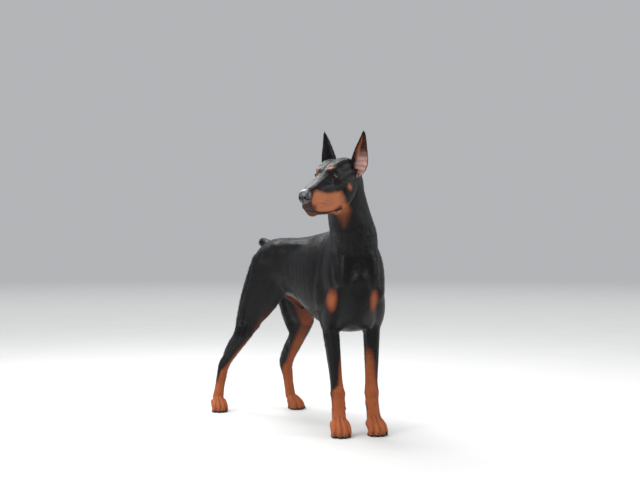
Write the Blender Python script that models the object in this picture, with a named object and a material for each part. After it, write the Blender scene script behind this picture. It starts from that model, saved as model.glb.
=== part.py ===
"""A still, life-size doberman pinscher, standing with its head turned to its right.

The dog faces -Y, its left side is +X and it stands on the plane Z = 0. Sizes are in metres.
The body is modelled whole from lofted tubes and muscles, fused and smoothed, and then
parted with thin cuts into the pieces that a person would name.
"""

import math

import bmesh
import bpy
import numpy as np
from mathutils import Matrix, Vector

# Driving dimensions of the dog
WITHERS = 0.700
BRISKET = 0.345
PAW_TO_WRIST = 0.140
HOCK_HEIGHT = 0.165
THIGH_BONE = 0.225
SHIN_BONE = 0.233
EYE_RADIUS = 0.0112
EYE_AT = (0.0335, 0.0040, 0.0110)
LID = 0.0024
EYE_OUT = 22
EYE_TILT = 10
EYE_LONG = 0.0112
EYE_HIGH = 0.0064
TAIL_LENGTH = 0.040
GAP = 0.0003
EAR_GAP = 0.0006

# How finely the forms are fused, how often they are smoothed and how many triangles they keep
TRUNK_VOXEL = 0.0045
FINE_VOXEL = 0.0021
TRUNK_ROUNDS = 26
SKULL_ROUNDS = 30
FLESH_ROUNDS = 4
FLESH_TRIANGLES = 7300
NOSE_TRIANGLES = 520
NOSTRIL_VOXEL = 0.0009
NOSTRIL_TRIANGLES = 220
EAR_STEPS = 2
EAR_POINTS = 11
CLAW_SIDES = 8

# A cut-off crumb has fewer faces than this, and the soles are flat up to this height
SMALLEST_PIECE = 60
SOLE_HEIGHT = 0.0012

# Edges that turn by more than this many degrees are shaded sharp
SHARP_ANGLE = 40

# The trunk bends to the dog's right: sideways offset = BEND * y + CURL * y * y
BEND = 0.17
CURL = -0.433

# Ahead of y = 0 it turns this much more, and eases out of the turn over a length behind
TURN = 0.36
TURN_LENGTH = 0.14

# The haunches face this much to the dog's left, in degrees
HAUNCH_TURN = 14

# Where the paws stand: x, y of the middle of each paw, and its turn outwards in degrees
PAWS = {
    "front_left": (0.0586, -0.049, -14),
    "front_right": (-0.0570, -0.004, -24),
    "hind_left": (0.155, 0.572, 14),
    "hind_right": (-0.116, 0.690, -16),
}

# The head: middle between the eyes, and its turns in degrees
HEAD_AT = (-0.2185, -0.153, 0.847)
HEAD_TURN = -72.5
HEAD_DROP = 20.5
HEAD_ROLL = 2.0


def spine(y):
    """The sideways offset of the trunk's middle at y, and the way to the dog's left there."""
    along = max(y, 0.0)
    share = min(along / TURN_LENGTH, 1.0)
    slope = BEND + 2 * CURL * along + TURN * (1 - share) * (1 - 3 * share)
    offset = BEND * y + CURL * along * along + TURN * y * (1 - share) ** 2
    return offset, Vector((1, -slope, 0)).normalized()


def trunk(y, across, z):
    """A point of the trunk: y along it, a distance across to the dog's left, and a height."""
    offset, left = spine(y)
    return Vector((offset, y, z)) + left * across


def head_matrix():
    turn = Matrix.Rotation(math.radians(HEAD_TURN), 4, "Z")
    drop = Matrix.Rotation(math.radians(HEAD_DROP), 4, "X")
    roll = Matrix.Rotation(math.radians(HEAD_ROLL), 4, "Y")
    return Matrix.Translation(HEAD_AT) @ turn @ drop @ roll


HEAD = head_matrix()


def eased(rows, steps):
    """Rows of numbers with a Catmull-Rom curve through them, in steps from each row to the next."""
    rows = np.array(rows, float)
    rows = np.vstack([2 * rows[0] - rows[1], rows, 2 * rows[-1] - rows[-2]])
    found = []
    for a, b, c, d in zip(rows, rows[1:], rows[2:], rows[3:]):
        for t in np.arange(steps) / steps:
            cubic = (3 * b - 3 * c + d - a) * t + 2 * a - 5 * b + 4 * c - d
            found.append(b + 0.5 * t * (c - a + t * cubic))
    found.append(rows[-2])
    return found


def ring(centre, side, up, widths, power, count=40):
    """A closed outline: widths are its reach to the left, right, top and bottom of its centre."""
    left, right, top, bottom = widths
    points = []
    for k in range(count):
        angle = 2 * math.pi * k / count
        across, high = math.cos(angle), math.sin(angle)
        x = math.copysign(abs(across) ** (2 / power), across) * (left if across > 0 else right)
        z = math.copysign(abs(high) ** (2 / power), high) * (top if high > 0 else bottom)
        points.append(centre + side * x + up * z)
    return points


class Clay:
    """Closed shapes that are gathered and then fused into one skin."""

    def __init__(self):
        self.mesh = bmesh.new()

    def tube(self, rings):
        """A closed tube through the rings."""
        rows = [[self.mesh.verts.new(point) for point in points] for points in rings]
        count = len(rows[0])
        for low, high in zip(rows, rows[1:]):
            for k in range(count):
                after = (k + 1) % count
                self.mesh.faces.new((low[k], low[after], high[after], high[k]))
        self.mesh.faces.new(list(reversed(rows[0])))
        self.mesh.faces.new(rows[-1])

    def limb(self, rows, steps, power):
        """A tube through rows of centre, side, up and its four widths."""
        flat = [[*c, *s, *u, *w] for c, s, u, w in rows]
        rings = []
        for row in eased(flat, steps):
            centre, side, up = (Vector(row[k : k + 3]) for k in (0, 3, 6))
            rings.append(ring(centre, side.normalized(), up.normalized(), row[9:], power))
        self.tube(rings)

    def ball(self, centre, radii, turned=None):
        """An ellipsoid, turned by a rotation matrix."""
        place = Matrix.Translation(centre) @ (turned or Matrix.Identity(3)).to_4x4()
        scale = Matrix.Diagonal((*radii, 1))
        bmesh.ops.create_icosphere(self.mesh, subdivisions=4, radius=1, matrix=place @ scale)

    def muscle(self, start, end, thick, wide, side=(1, 0, 0)):
        """An ellipsoid from start to end; thick along side and wide square to both."""
        start, end = Vector(start), Vector(end)
        along = (end - start).normalized()
        across = (Vector(side) - along * along.dot(Vector(side))).normalized()
        turned = Matrix((along, across, along.cross(across))).transposed()
        self.ball((start + end) / 2, ((end - start).length / 2, thick, wide), turned)

    def small_tube(self, rows):
        """A tube of few faces through rows of centre, side, up and widths."""
        self.tube([ring(*row, 2.0, CLAW_SIDES) for row in rows])

    def closed(self, name):
        """The shapes as they are, as one thing."""
        bmesh.ops.recalc_face_normals(self.mesh, faces=self.mesh.faces)
        mesh = bpy.data.meshes.new(name)
        self.mesh.to_mesh(mesh)
        self.mesh.free()
        thing = bpy.data.objects.new(name, mesh)
        bpy.context.collection.objects.link(thing)
        return thing

    def fused(self, name, voxel, rounds, weigh=None):
        """One closed skin round all the shapes, smoothed in rounds, by weigh(points) where given."""
        thing = self.closed(name)
        remesh = thing.modifiers.new("Fuse", "REMESH")
        remesh.mode = "VOXEL"
        remesh.voxel_size = voxel
        apply_modifiers(thing)
        smooth = thing.modifiers.new("Smooth", "SMOOTH")
        smooth.factor = 0.5
        smooth.iterations = rounds
        if weigh:
            weights = weigh(points_of(thing))
            group = thing.vertex_groups.new(name="soft")
            for step in range(11):
                chosen = np.nonzero(np.round(weights * 10) == step)[0]
                group.add(chosen.tolist(), step / 10, "REPLACE")
            smooth.vertex_group = "soft"
        apply_modifiers(thing)
        thing.vertex_groups.clear()
        return thing


def points_of(thing):
    found = np.empty(len(thing.data.vertices) * 3, np.float32)
    thing.data.vertices.foreach_get("co", found)
    return found.reshape(-1, 3)


def ramp(values, low, high):
    """0 up to low, 1 from high on, and an even slope between."""
    return np.clip((values - low) / (high - low), 0, 1)


def apply_modifiers(thing):
    """Replaces the mesh by the one that its modifiers make."""
    graph = bpy.context.evaluated_depsgraph_get()
    graph.update()
    made = bpy.data.meshes.new_from_object(thing.evaluated_get(graph))
    thing.modifiers.clear()
    thing.data = made
    return thing


# Trunk sections: y, top, bottom, half width, height of the widest place, roundness
TRUNK = (
    (-0.130, 0.560, 0.448, 0.026, 0.505, 2.0),
    (-0.108, 0.610, 0.402, 0.054, 0.500, 2.1),
    (-0.060, 0.655, 0.364, 0.090, 0.500, 2.2),
    (-0.010, 0.685, 0.348, 0.110, 0.505, 2.2),
    (0.040, WITHERS - 0.002, BRISKET, 0.119, 0.510, 2.2),
    (0.090, 0.696, 0.349, 0.119, 0.512, 2.2),
    (0.150, 0.686, 0.367, 0.117, 0.515, 2.2),
    (0.210, 0.677, 0.398, 0.111, 0.522, 2.2),
    (0.270, 0.671, 0.425, 0.099, 0.537, 2.2),
    (0.330, 0.667, 0.446, 0.085, 0.555, 2.3),
    (0.380, 0.668, 0.456, 0.077, 0.570, 2.4),
    (0.430, 0.666, 0.468, 0.075, 0.575, 2.4),
    (0.470, 0.656, 0.482, 0.069, 0.575, 2.3),
    (0.505, 0.634, 0.505, 0.056, 0.578, 2.2),
    (0.530, 0.602, 0.540, 0.034, 0.578, 2.0),
)


def add_trunk(clay):
    rings = []
    for y, top, bottom, half, widest, power in eased(TRUNK, 5):
        centre = trunk(y, 0, widest)
        left = spine(y)[1]
        widths = (half, half, top - widest, widest - bottom)
        rings.append(ring(centre, left, Vector((0, 0, 1)), widths, power, 56))
    clay.tube(rings)


def add_trunk_muscles(clay):
    for s in (1, -1):
        left = spine(0.0)[1] * s
        # Shoulder blade and the muscles over it
        clay.muscle(trunk(0.060, 0.033 * s, 0.690), trunk(-0.076, 0.079 * s, 0.480),
                    0.038, 0.062, left)
        # Point of the shoulder
        clay.ball(trunk(-0.083, 0.059 * s, 0.486), (0.032, 0.031, 0.042))
        # Upper arm
        clay.muscle(trunk(-0.096, 0.065 * s, 0.505), trunk(0.030, 0.093 * s, 0.352),
                    0.031, 0.044, left)
        # Triceps
        clay.muscle(trunk(0.076, 0.086 * s, 0.600), trunk(0.024, 0.091 * s, 0.364),
                    0.034, 0.054, left)
        # Chest muscle between the arm and the breastbone
        clay.muscle(trunk(-0.122, 0.020 * s, 0.520), trunk(-0.020, 0.050 * s, 0.352),
                    0.030, 0.036, left)
        # Muscle from the neck down to the arm
        clay.muscle(trunk(-0.062, 0.036 * s, 0.660), trunk(-0.100, 0.044 * s, 0.480),
                    0.034, 0.042, left)
        # Long muscles of the back
        clay.muscle(trunk(0.06, 0.034 * s, 0.640), trunk(0.48, 0.036 * s, 0.622),
                    0.034, 0.030, left)
        # Croup and hip
        clay.muscle(trunk(0.330, 0.038 * s, 0.628), trunk(0.505, 0.050 * s, 0.578),
                    0.040, 0.048, left)
    # Point of the breastbone
    clay.muscle(trunk(-0.134, 0, 0.555), trunk(-0.070, 0, 0.390), 0.030, 0.026)
    # Keel of the chest
    clay.muscle(trunk(-0.06, 0, 0.368), trunk(0.150, 0, 0.384), 0.030, 0.028)


def tail_ends():
    """Where the tail leaves the croup and where it stops."""
    root = trunk(0.484, 0, 0.638)
    return root, root + trunk(0.484 + TAIL_LENGTH, 0, TAIL_LENGTH * 0.42) - trunk(0.484, 0, 0)


def add_tail(clay):
    root, tip = tail_ends()
    along = (tip - root).normalized()
    side = spine(0.49)[1]
    up = side.cross(along) * -1
    rows = []
    for t, r in ((-0.9, 0.027), (-0.3, 0.023), (0.1, 0.0200), (0.5, 0.0182), (0.8, 0.0168), (0.96, 0.0140),
                 (1.04, 0.0070)):
        rows.append((root + (tip - root) * t, side, up, (r, r, r, r)))
    clay.limb(rows, 4, 2.0)


def add_sheath(clay):
    """The sheath under the belly, which ends in a free tip towards the front."""
    side = spine(0.36)[1]
    up = Vector((0, 0, 1))
    rows = []
    for y, z, across, high in ((0.300, 0.4115, 0.004, 0.005), (0.305, 0.4125, 0.0085, 0.0095),
                               (0.318, 0.4180, 0.0115, 0.0125), (0.345, 0.4330, 0.0125, 0.0140),
                               (0.385, 0.4520, 0.0120, 0.0140), (0.425, 0.4680, 0.0100, 0.0120),
                               (0.450, 0.4780, 0.0060, 0.0080)):
        rows.append((trunk(y, 0, z), side, up, (across, across, high, high)))
    clay.limb(rows, 4, 2.0)


def add_neck(clay):
    """From the withers and the breast up to the back of the skull."""
    trunk_left = spine(0.0)[1]
    head_left = HEAD.to_3x3() @ Vector((1, 0, 0))
    top = HEAD @ Vector((0, 0.070, -0.020))
    under = HEAD @ Vector((0, 0.035, -0.030))
    # centre, share of the head's turn, half width, reach to the front and to the back
    path = (
        (trunk(0.075, 0, 0.490), 0.0, 0.070, 0.130, 0.080),
        (trunk(0.030, 0, 0.550), 0.0, 0.078, 0.128, 0.094),
        (trunk(-0.015, -0.002, 0.612), 0.05, 0.082, 0.112, 0.094),
        (Vector((-0.035, -0.050, 0.672)), 0.22, 0.077, 0.093, 0.088),
        (Vector((-0.073, -0.074, 0.735)), 0.45, 0.069, 0.078, 0.082),
        (Vector((-0.100, -0.092, 0.795)), 0.66, 0.063, 0.069, 0.079),
        (Vector((-0.122, -0.108, 0.844)), 0.85, 0.060, 0.063, 0.073),
        (top, 1.0, 0.053, 0.054, 0.058),
        (under, 1.0, 0.040, 0.040, 0.040),
    )
    centres = [row[0] for row in path]
    rows = []
    for k, (centre, share, half, front, back) in enumerate(path):
        ahead = centres[min(k + 1, len(path) - 1)] - centres[max(k - 1, 0)]
        left = trunk_left.lerp(head_left, share)
        left = (left - ahead * left.dot(ahead) / ahead.length_squared).normalized()
        behind = left.cross(ahead).normalized() * -1
        rows.append((centre, left, behind, (half, half, back, front)))
    clay.limb(rows, 8, 2.1)


def leg_frame(top, bottom, forward):
    """Side and fore directions square to the way from top to bottom."""
    along = (bottom - top).normalized()
    fore = (forward - along * along.dot(forward)).normalized()
    return along, fore, along.cross(fore)


def add_limb(clay, joints, sections, forward):
    """A leg along joints. A section is place, fore shift, side reach, fore reach and back reach;
    its place counts bones, so 1.5 is the middle of the second bone."""
    rows = []
    for place, shift, side_reach, fore, back in sections:
        bone = min(int(place), len(joints) - 2)
        part = place - bone
        point = joints[bone].lerp(joints[bone + 1], part)
        along, ahead, side = leg_frame(joints[bone], joints[bone + 1], forward)
        if 0 < bone and part < 0.15:
            before = leg_frame(joints[bone - 1], joints[bone], forward)
            ahead = (ahead + before[1]).normalized()
            side = (side + before[2]).normalized()
        rows.append((point + ahead * shift, side, ahead, (side_reach, side_reach, fore, back)))
    clay.limb(rows, 6, 2.1)


def heading(degrees):
    """The way ahead, turned to the dog's left by an angle."""
    angle = math.radians(degrees)
    return Vector((math.sin(angle), -math.cos(angle), 0))


def foreleg_joints(side):
    s = 1 if side == "left" else -1
    x, y, turn = PAWS["front_" + side]
    ahead = heading(turn)
    elbow = trunk(0.012, 0.073 * s - 0.004, 0.388)
    ground = Vector((x, y, 0))
    wrist = ground - ahead * 0.030 + Vector((0, 0, PAW_TO_WRIST))
    fetlock = ground - ahead * 0.012 + Vector((0, 0, 0.045))
    return elbow, wrist, fetlock


def add_foreleg(clay, side):
    s = 1 if side == "left" else -1
    joints = foreleg_joints(side)
    elbow, wrist = joints[:2]
    ahead = heading(PAWS["front_" + side][2])
    above = elbow + (elbow - wrist).normalized() * 0.05
    # place, fore shift, side, fore and back reach
    sections = (
        (0.00, 0.004, 0.020, 0.028, 0.030),
        (1.00, 0.002, 0.0275, 0.036, 0.040),
        (1.12, 0.002, 0.0280, 0.036, 0.037),
        (1.30, 0.002, 0.0270, 0.031, 0.031),
        (1.55, 0.001, 0.0245, 0.025, 0.025),
        (1.80, 0.000, 0.0225, 0.0215, 0.0215),
        (1.92, 0.000, 0.0235, 0.0225, 0.022),
        (2.00, 0.002, 0.0255, 0.0240, 0.0235),
        (2.10, 0.001, 0.0250, 0.0220, 0.0225),
        (2.35, 0.000, 0.0235, 0.0190, 0.0205),
        (2.75, 0.001, 0.0245, 0.0195, 0.0205),
        (3.00, 0.004, 0.0255, 0.0210, 0.0200),
    )
    add_limb(clay, (above, *joints), sections, ahead)
    # Point of the elbow
    clay.muscle(elbow - ahead * 0.010 + Vector((0, 0, -0.03)),
                elbow - ahead * 0.040 + Vector((0, 0, 0.034)), 0.013, 0.016)
    # Carpal pad
    clay.ball(wrist - ahead * 0.021 + Vector((0, 0, -0.022)), (0.0085, 0.0075, 0.010))
    # Dewclaw toe on the inner side
    inner = ahead.cross(Vector((0, 0, 1))) * s
    clay.muscle(wrist + inner * 0.016 + Vector((0, 0, -0.012)),
                wrist + inner * 0.023 + ahead * 0.008 + Vector((0, 0, -0.046)), 0.0065, 0.008)


# The hind legs: middle of the hock joint, the hip joint's place along and across the trunk,
# how far the knee is bent ahead of the bones' own lengths and how far it swings out
HOCKS = {"left": (0.147, 0.606), "right": (-0.090, 0.696)}
HIPS = {"left": (0.480, 0.056), "right": (0.466, -0.050)}
KNEES_AHEAD = {"left": 0.0, "right": 0.025}
KNEE_SWING = 0.15


def hind_joints(side):
    s = 1 if side == "left" else -1
    x, y, turn = PAWS["hind_" + side]
    ahead = heading(turn)
    hip = trunk(*HIPS[side], 0.552)
    hock = Vector((*HOCKS[side], HOCK_HEIGHT))
    fetlock = Vector((x, y, 0.042)) - ahead * 0.018
    reach = hock - hip
    outward = heading(HAUNCH_TURN) + spine(0.48)[1] * (s * KNEE_SWING)
    forward = leg_frame(hip, hock, outward)[1]
    length = reach.length
    share = (THIGH_BONE ** 2 - SHIN_BONE ** 2 + length ** 2) / (2 * length)
    bend = math.sqrt(max(THIGH_BONE ** 2 - share ** 2, 0.0001))
    knee = hip + reach.normalized() * share + forward * (bend + KNEES_AHEAD[side])
    return hip, knee, hock, fetlock


def add_thigh(clay, side):
    s = 1 if side == "left" else -1
    hip, knee, hock = hind_joints(side)[:3]
    body_ahead = heading(HAUNCH_TURN)
    left = spine(0.49)[1]
    # Thigh, as a flattened cone from the croup to the knee
    thigh = (
        (0.00, 0.004, 0.032, 0.060, 0.050),
        (0.30, 0.004, 0.040, 0.074, 0.058),
        (0.60, 0.000, 0.040, 0.072, 0.060),
        (0.85, -0.004, 0.036, 0.058, 0.056),
        (1.00, -0.006, 0.031, 0.044, 0.046),
        (1.14, -0.008, 0.024, 0.028, 0.034),
    )
    add_limb(clay, (hip + Vector((0, 0, 0.040)), knee, hock), thigh, body_ahead)
    # Muscle behind the thigh, from the sitting bone to the shin
    clay.muscle(trunk(0.492, 0.040 * s, 0.590), knee.lerp(hock, 0.42) - body_ahead * 0.006,
                0.028, 0.034, left)
    # Front of the thigh
    clay.muscle(trunk(0.410, 0.064 * s, 0.600), knee + body_ahead * 0.004, 0.030, 0.042, left)
    # Fold of the flank, from the loin to the knee
    clay.muscle(trunk(0.300, 0.050 * s, 0.575), knee + Vector((0, 0, -0.005)), 0.020, 0.050, left)
    # Knee cap
    clay.ball(knee + body_ahead * 0.020, (0.019, 0.018, 0.026))


def add_hind_leg(clay, side):
    knee, hock, fetlock = hind_joints(side)[1:]
    ahead = heading(PAWS["hind_" + side][2])
    body_ahead = heading(HAUNCH_TURN)
    # Shin down to the hock, and on to the fetlock
    sections = (
        (0.00, -0.004, 0.030, 0.040, 0.045),
        (0.18, -0.006, 0.030, 0.038, 0.042),
        (0.40, -0.006, 0.0260, 0.031, 0.036),
        (0.62, -0.006, 0.0205, 0.025, 0.030),
        (0.82, -0.006, 0.0170, 0.021, 0.029),
        (0.96, -0.004, 0.0180, 0.022, 0.032),
        (1.06, -0.004, 0.0190, 0.022, 0.030),
        (1.25, -0.003, 0.0185, 0.020, 0.023),
        (1.60, -0.002, 0.0190, 0.0185, 0.020),
        (2.00, 0.000, 0.0225, 0.020, 0.018),
    )
    add_limb(clay, (knee, hock, fetlock), sections, ahead.lerp(body_ahead, 0.4))
    # Heel bone
    along, fore = leg_frame(hock, fetlock, ahead)[:2]
    heel = hock - fore * 0.031 - along * 0.032
    clay.muscle(hock - fore * 0.018 + along * 0.030, heel - along * 0.008, 0.0125, 0.0125)
    # Tendon from the calf to the heel
    calf = knee.lerp(hock, 0.35) - leg_frame(knee, hock, body_ahead)[1] * 0.032
    clay.muscle(calf + (calf - heel) * 0.1, heel + (heel - calf) * 0.06, 0.0095, 0.012,
                spine(0.49)[1])


# Toes of a paw from its inner to its outer side: sideways place, how far ahead its tip is
TOES = ((-0.0245, 0.024), (-0.0092, 0.037), (0.0092, 0.037), (0.0245, 0.024))


def paw_matrix(name):
    x, y, turn = PAWS[name]
    return Matrix.Translation((x, y, 0)) @ Matrix.Rotation(math.radians(turn), 4, "Z")


def paw_size(name):
    return 1.0 if name.startswith("front") else 0.90


def toe_line(across, ahead):
    """The middle line of a toe: knuckle, bend and tip, with its radius at each."""
    return (
        (Vector((across * 0.55, 0.012, 0.050)), 0.0155),
        (Vector((across * 0.85, -ahead + 0.032, 0.044)), 0.0140),
        (Vector((across * 1.00, -ahead + 0.012, 0.0305)), 0.0128),
        (Vector((across * 1.04, -ahead - 0.001, 0.0165)), 0.0108),
        (Vector((across * 1.04, -ahead - 0.005, 0.0085)), 0.0088),
    )


def add_paw(clay, name):
    place, size = paw_matrix(name), paw_size(name)

    def at(point):
        return place @ (Vector(point) * size)

    turned = place.to_3x3()
    for across, ahead in TOES:
        line = toe_line(across, ahead)
        rows = []
        for k, (point, r) in enumerate(line):
            way = line[min(k + 1, len(line) - 1)][0] - line[max(k - 1, 0)][0]
            up = way.cross(Vector((1, 0, 0))).normalized()
            r *= size
            rows.append((at(point), turned @ Vector((1, 0, 0)), turned @ up, (r * 0.88, r * 0.88, r, r)))
        clay.limb(rows, 4, 2.1)
        clay.ball(at((across * 1.04, -ahead - 0.002, 0.009)),
                  (0.0092 * size, 0.0112 * size, 0.0100 * size), turned)
        # Toe pad
        clay.ball(at((across * 1.02, -ahead + 0.013, 0.0065)),
                  (0.0086 * size, 0.0125 * size, 0.0085 * size), turned)
    # Back of the paw and its large pad
    clay.ball(at((0, 0.006, 0.036)), (0.0255 * size, 0.029 * size, 0.026 * size), turned)
    clay.ball(at((0, 0.014, 0.0075)), (0.0205 * size, 0.0165 * size, 0.0105 * size), turned)
    clay.ball(at((0, 0.004, 0.020)), (0.0240 * size, 0.028 * size, 0.016 * size), turned)


# Head sections: y (the nose is at -y), top, bottom, half width, height of the widest, roundness
SKULL = (
    (0.130, 0.028, -0.006, 0.012, 0.012, 2.0),
    (0.114, 0.038, -0.048, 0.036, 0.004, 2.1),
    (0.092, 0.043, -0.082, 0.047, -0.004, 2.2),
    (0.064, 0.045, -0.101, 0.051, -0.006, 2.3),
    (0.036, 0.0455, -0.109, 0.050, -0.008, 2.4),
    (0.014, 0.043, -0.111, 0.045, -0.012, 2.4),
    (-0.006, 0.036, -0.110, 0.039, -0.018, 2.4),
    (-0.024, 0.0255, -0.107, 0.034, -0.024, 2.5),
    (-0.050, 0.0175, -0.100, 0.0305, -0.032, 2.7),
    (-0.080, 0.0125, -0.090, 0.0280, -0.034, 2.8),
    (-0.106, 0.0085, -0.079, 0.0252, -0.034, 2.6),
    (-0.121, 0.0055, -0.066, 0.0205, -0.030, 2.4),
    (-0.131, -0.0015, -0.055, 0.0150, -0.030, 2.2),
)


def add_head(clay):
    turned = HEAD.to_3x3()
    left, up = turned @ Vector((1, 0, 0)), turned @ Vector((0, 0, 1))
    rings = []
    for y, top, bottom, half, widest, power in eased(SKULL, 6):
        centre = HEAD @ Vector((0, y, widest))
        rings.append(ring(centre, left, up, (half, half, top - widest, widest - bottom), power, 48))
    clay.tube(rings)

    def muscle(start, end, thick, wide=None, side=(1, 0, 0)):
        clay.muscle(HEAD @ Vector(start), HEAD @ Vector(end), thick, wide, turned @ Vector(side))

    def ball(centre, radii):
        clay.ball(HEAD @ Vector(centre), radii, turned)

    for s in (1, -1):
        # Cheek bone
        muscle((0.028 * s, -0.030, -0.014), (0.050 * s, 0.084, -0.010), 0.0140, 0.0150)
        # Temple
        muscle((0.022 * s, -0.004, 0.024), (0.030 * s, 0.108, 0.010), 0.024, 0.031)
        # Cheek muscle over the jaw
        muscle((0.034 * s, 0.000, -0.088), (0.041 * s, 0.086, -0.018), 0.018, 0.036)
        # Brow
        muscle((0.008 * s, -0.016, 0.029), (0.041 * s, 0.018, 0.026), 0.0105, 0.0105, (0, 1, 0))
        # Lids and the rim of the eye
        ball((0.0310 * s, 0.0060, 0.0100), (0.0165, 0.0170, 0.0160))
        ball((0.0240 * s, -0.0120, 0.0060), (0.0120, 0.0140, 0.0120))
        # Upper lip
        muscle((0.013 * s, -0.1345, -0.044), (0.032 * s, 0.000, -0.078), 0.0120, 0.0260)
        # Side of the muzzle below the eye
        muscle((0.018 * s, -0.104, -0.008), (0.034 * s, 0.000, -0.022), 0.011, 0.018)
        # Corner of the mouth
        ball((0.031 * s, -0.012, -0.092), (0.0095, 0.022, 0.014))
        # Root of the ear
        muscle((0.030 * s, 0.072, 0.014), (0.048 * s, 0.114, 0.010), 0.019, 0.024)
    # Lower jaw and chin
    muscle((0, 0.070, -0.100), (0, -0.126, -0.070), 0.0250, 0.0160)
    muscle((0, -0.088, -0.078), (0, -0.126, -0.067), 0.0185, 0.0145)
    # Front of the muzzle under the nose
    ball((0, -0.120, -0.032), (0.0185, 0.0160, 0.0240))
    # Back of the skull
    ball((0, 0.106, 0.012), (0.024, 0.022, 0.026))


def add_eye_rounds(clay):
    """The round of each eye under its lids."""
    turned = HEAD.to_3x3()
    for s in (1, -1):
        x, y, z = EYE_AT
        clay.ball(HEAD @ Vector((x * s, y, z)), [EYE_RADIUS + LID] * 3, turned)


# Ear sections: the middle of its back (x, y, z), its bend radius, half angle and thickness.
# The left ear is cocked forwards and the right one out to its side.
EAR = (
    (0.035, 0.100, -0.016, 0.0175, 96, 0.0100),
    (0.045, 0.108, 0.003, 0.0255, 92, 0.0080),
    (0.054, 0.115, 0.028, 0.0275, 80, 0.0062),
    (0.061, 0.121, 0.056, 0.0238, 66, 0.0046),
    (0.067, 0.127, 0.079, 0.0185, 54, 0.0042),
    (0.072, 0.131, 0.097, 0.0130, 48, 0.0040),
    (0.075, 0.133, 0.109, 0.0078, 44, 0.0036),
    (0.076, 0.133, 0.116, 0.0036, 40, 0.0028),
)
EAR_FACING = {1: (0.55, -0.83, 0.05), -1: (-0.88, 0.48, 0.05)}


def add_ear(clay, s):
    """A cup open to the front and outside, narrowing to a point."""
    facing = Vector(EAR_FACING[s]).normalized()
    rows = eased([(x * s, *rest) for x, *rest in EAR], EAR_STEPS)
    backs = [Vector(row[:3]) for row in rows]
    rings = []
    for k, row in enumerate(rows):
        way = (backs[min(k + 1, len(rows) - 1)] - backs[max(k - 1, 0)]).normalized()
        ahead = (facing - way * way.dot(facing)).normalized()
        side = ahead.cross(way) * s
        radius, half, thick = row[3], math.radians(row[4]), row[5]
        centre = backs[k] + ahead * radius
        points = []
        for turn in np.linspace(-half, half, EAR_POINTS):
            points.append(centre + (side * math.sin(turn) - ahead * math.cos(turn)) * radius)
        inner = max(radius - thick, radius * 0.2)
        for turn in np.linspace(half * 0.94, -half * 0.94, EAR_POINTS):
            points.append(centre + (side * math.sin(turn) - ahead * math.cos(turn)) * inner)
        rings.append([HEAD @ point for point in points])
    clay.tube(rings)


# Nose sections: y, half width, top, bottom
NOSE = (
    (-0.106, 0.0120, 0.0020, -0.024),
    (-0.114, 0.0170, 0.0050, -0.030),
    (-0.122, 0.0198, 0.0068, -0.034),
    (-0.130, 0.0203, 0.0052, -0.0355),
    (-0.1365, 0.0188, 0.0008, -0.0350),
    (-0.1410, 0.0145, -0.0055, -0.0310),
    (-0.1428, 0.0060, -0.0125, -0.0240),
)


def add_nose(clay):
    turned = HEAD.to_3x3()
    left, up = turned @ Vector((1, 0, 0)), turned @ Vector((0, 0, 1))
    rings = []
    for y, half, top, bottom in eased(NOSE, 4):
        centre = HEAD @ Vector((0, y, (top + bottom) / 2))
        high = (top - bottom) / 2
        rings.append(ring(centre, left, up, (half, half, high, high), 2.6, 32))
    clay.tube(rings)


def add_nostrils(clay):
    """The two comma-shaped nostrils, as solids to take away."""
    turned = HEAD.to_3x3()
    for s in (1, -1):
        clay.ball(HEAD @ Vector((0.0090 * s, -0.1418, -0.0135)), (0.0046, 0.0080, 0.0048), turned)
        clay.muscle(HEAD @ Vector((0.0105 * s, -0.1430, -0.0160)),
                    HEAD @ Vector((0.0210 * s, -0.1270, -0.0205)), 0.0022, 0.0026,
                    turned @ Vector((0, 0, 1)))


def almond(s, reach):
    """The opening between the lids of an eye, as a solid to take away, along the eye's look."""
    x, y, z = EYE_AT
    look = Matrix.Rotation(math.radians(EYE_OUT * s), 3, "Z") @ Vector((0, -1, 0))
    side = Vector((0, 0, 1)).cross(look).normalized() * -s
    tilt = math.radians(EYE_TILT)
    along = side * math.cos(tilt) + Vector((0, 0, 1)) * math.sin(tilt)
    up = along.cross(look) * s
    centre = Vector((x * s, y, z))
    rings = []
    for depth in (0.004, reach):
        points = []
        for k in range(24):
            angle = 2 * math.pi * k / 24
            across = math.cos(angle)
            high = math.copysign(abs(math.sin(angle)) ** 1.25, math.sin(angle))
            point = centre + look * depth + along * (EYE_LONG * across) + up * (EYE_HIGH * high)
            points.append(HEAD @ point)
        rings.append(points)
    return rings


def claw_line(across, ahead):
    """The middle line of a claw and its radius, from inside the toe to the tip."""
    return (
        (Vector((across * 1.04, -ahead + 0.004, 0.0140)), 0.0028),
        (Vector((across * 1.04, -ahead - 0.005, 0.0142)), 0.0034),
        (Vector((across * 1.05, -ahead - 0.012, 0.0116)), 0.0030),
        (Vector((across * 1.06, -ahead - 0.017, 0.0076)), 0.0021),
        (Vector((across * 1.06, -ahead - 0.0195, 0.0036)), 0.0010),
    )


# The dewclaw from the inner side of the wrist: sideways, ahead, height and radius
DEWCLAW = (
    (0.0200, 0.004, -0.034, 0.0026),
    (0.0225, 0.008, -0.043, 0.0030),
    (0.0238, 0.013, -0.050, 0.0025),
    (0.0240, 0.017, -0.056, 0.0012),
)


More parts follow.
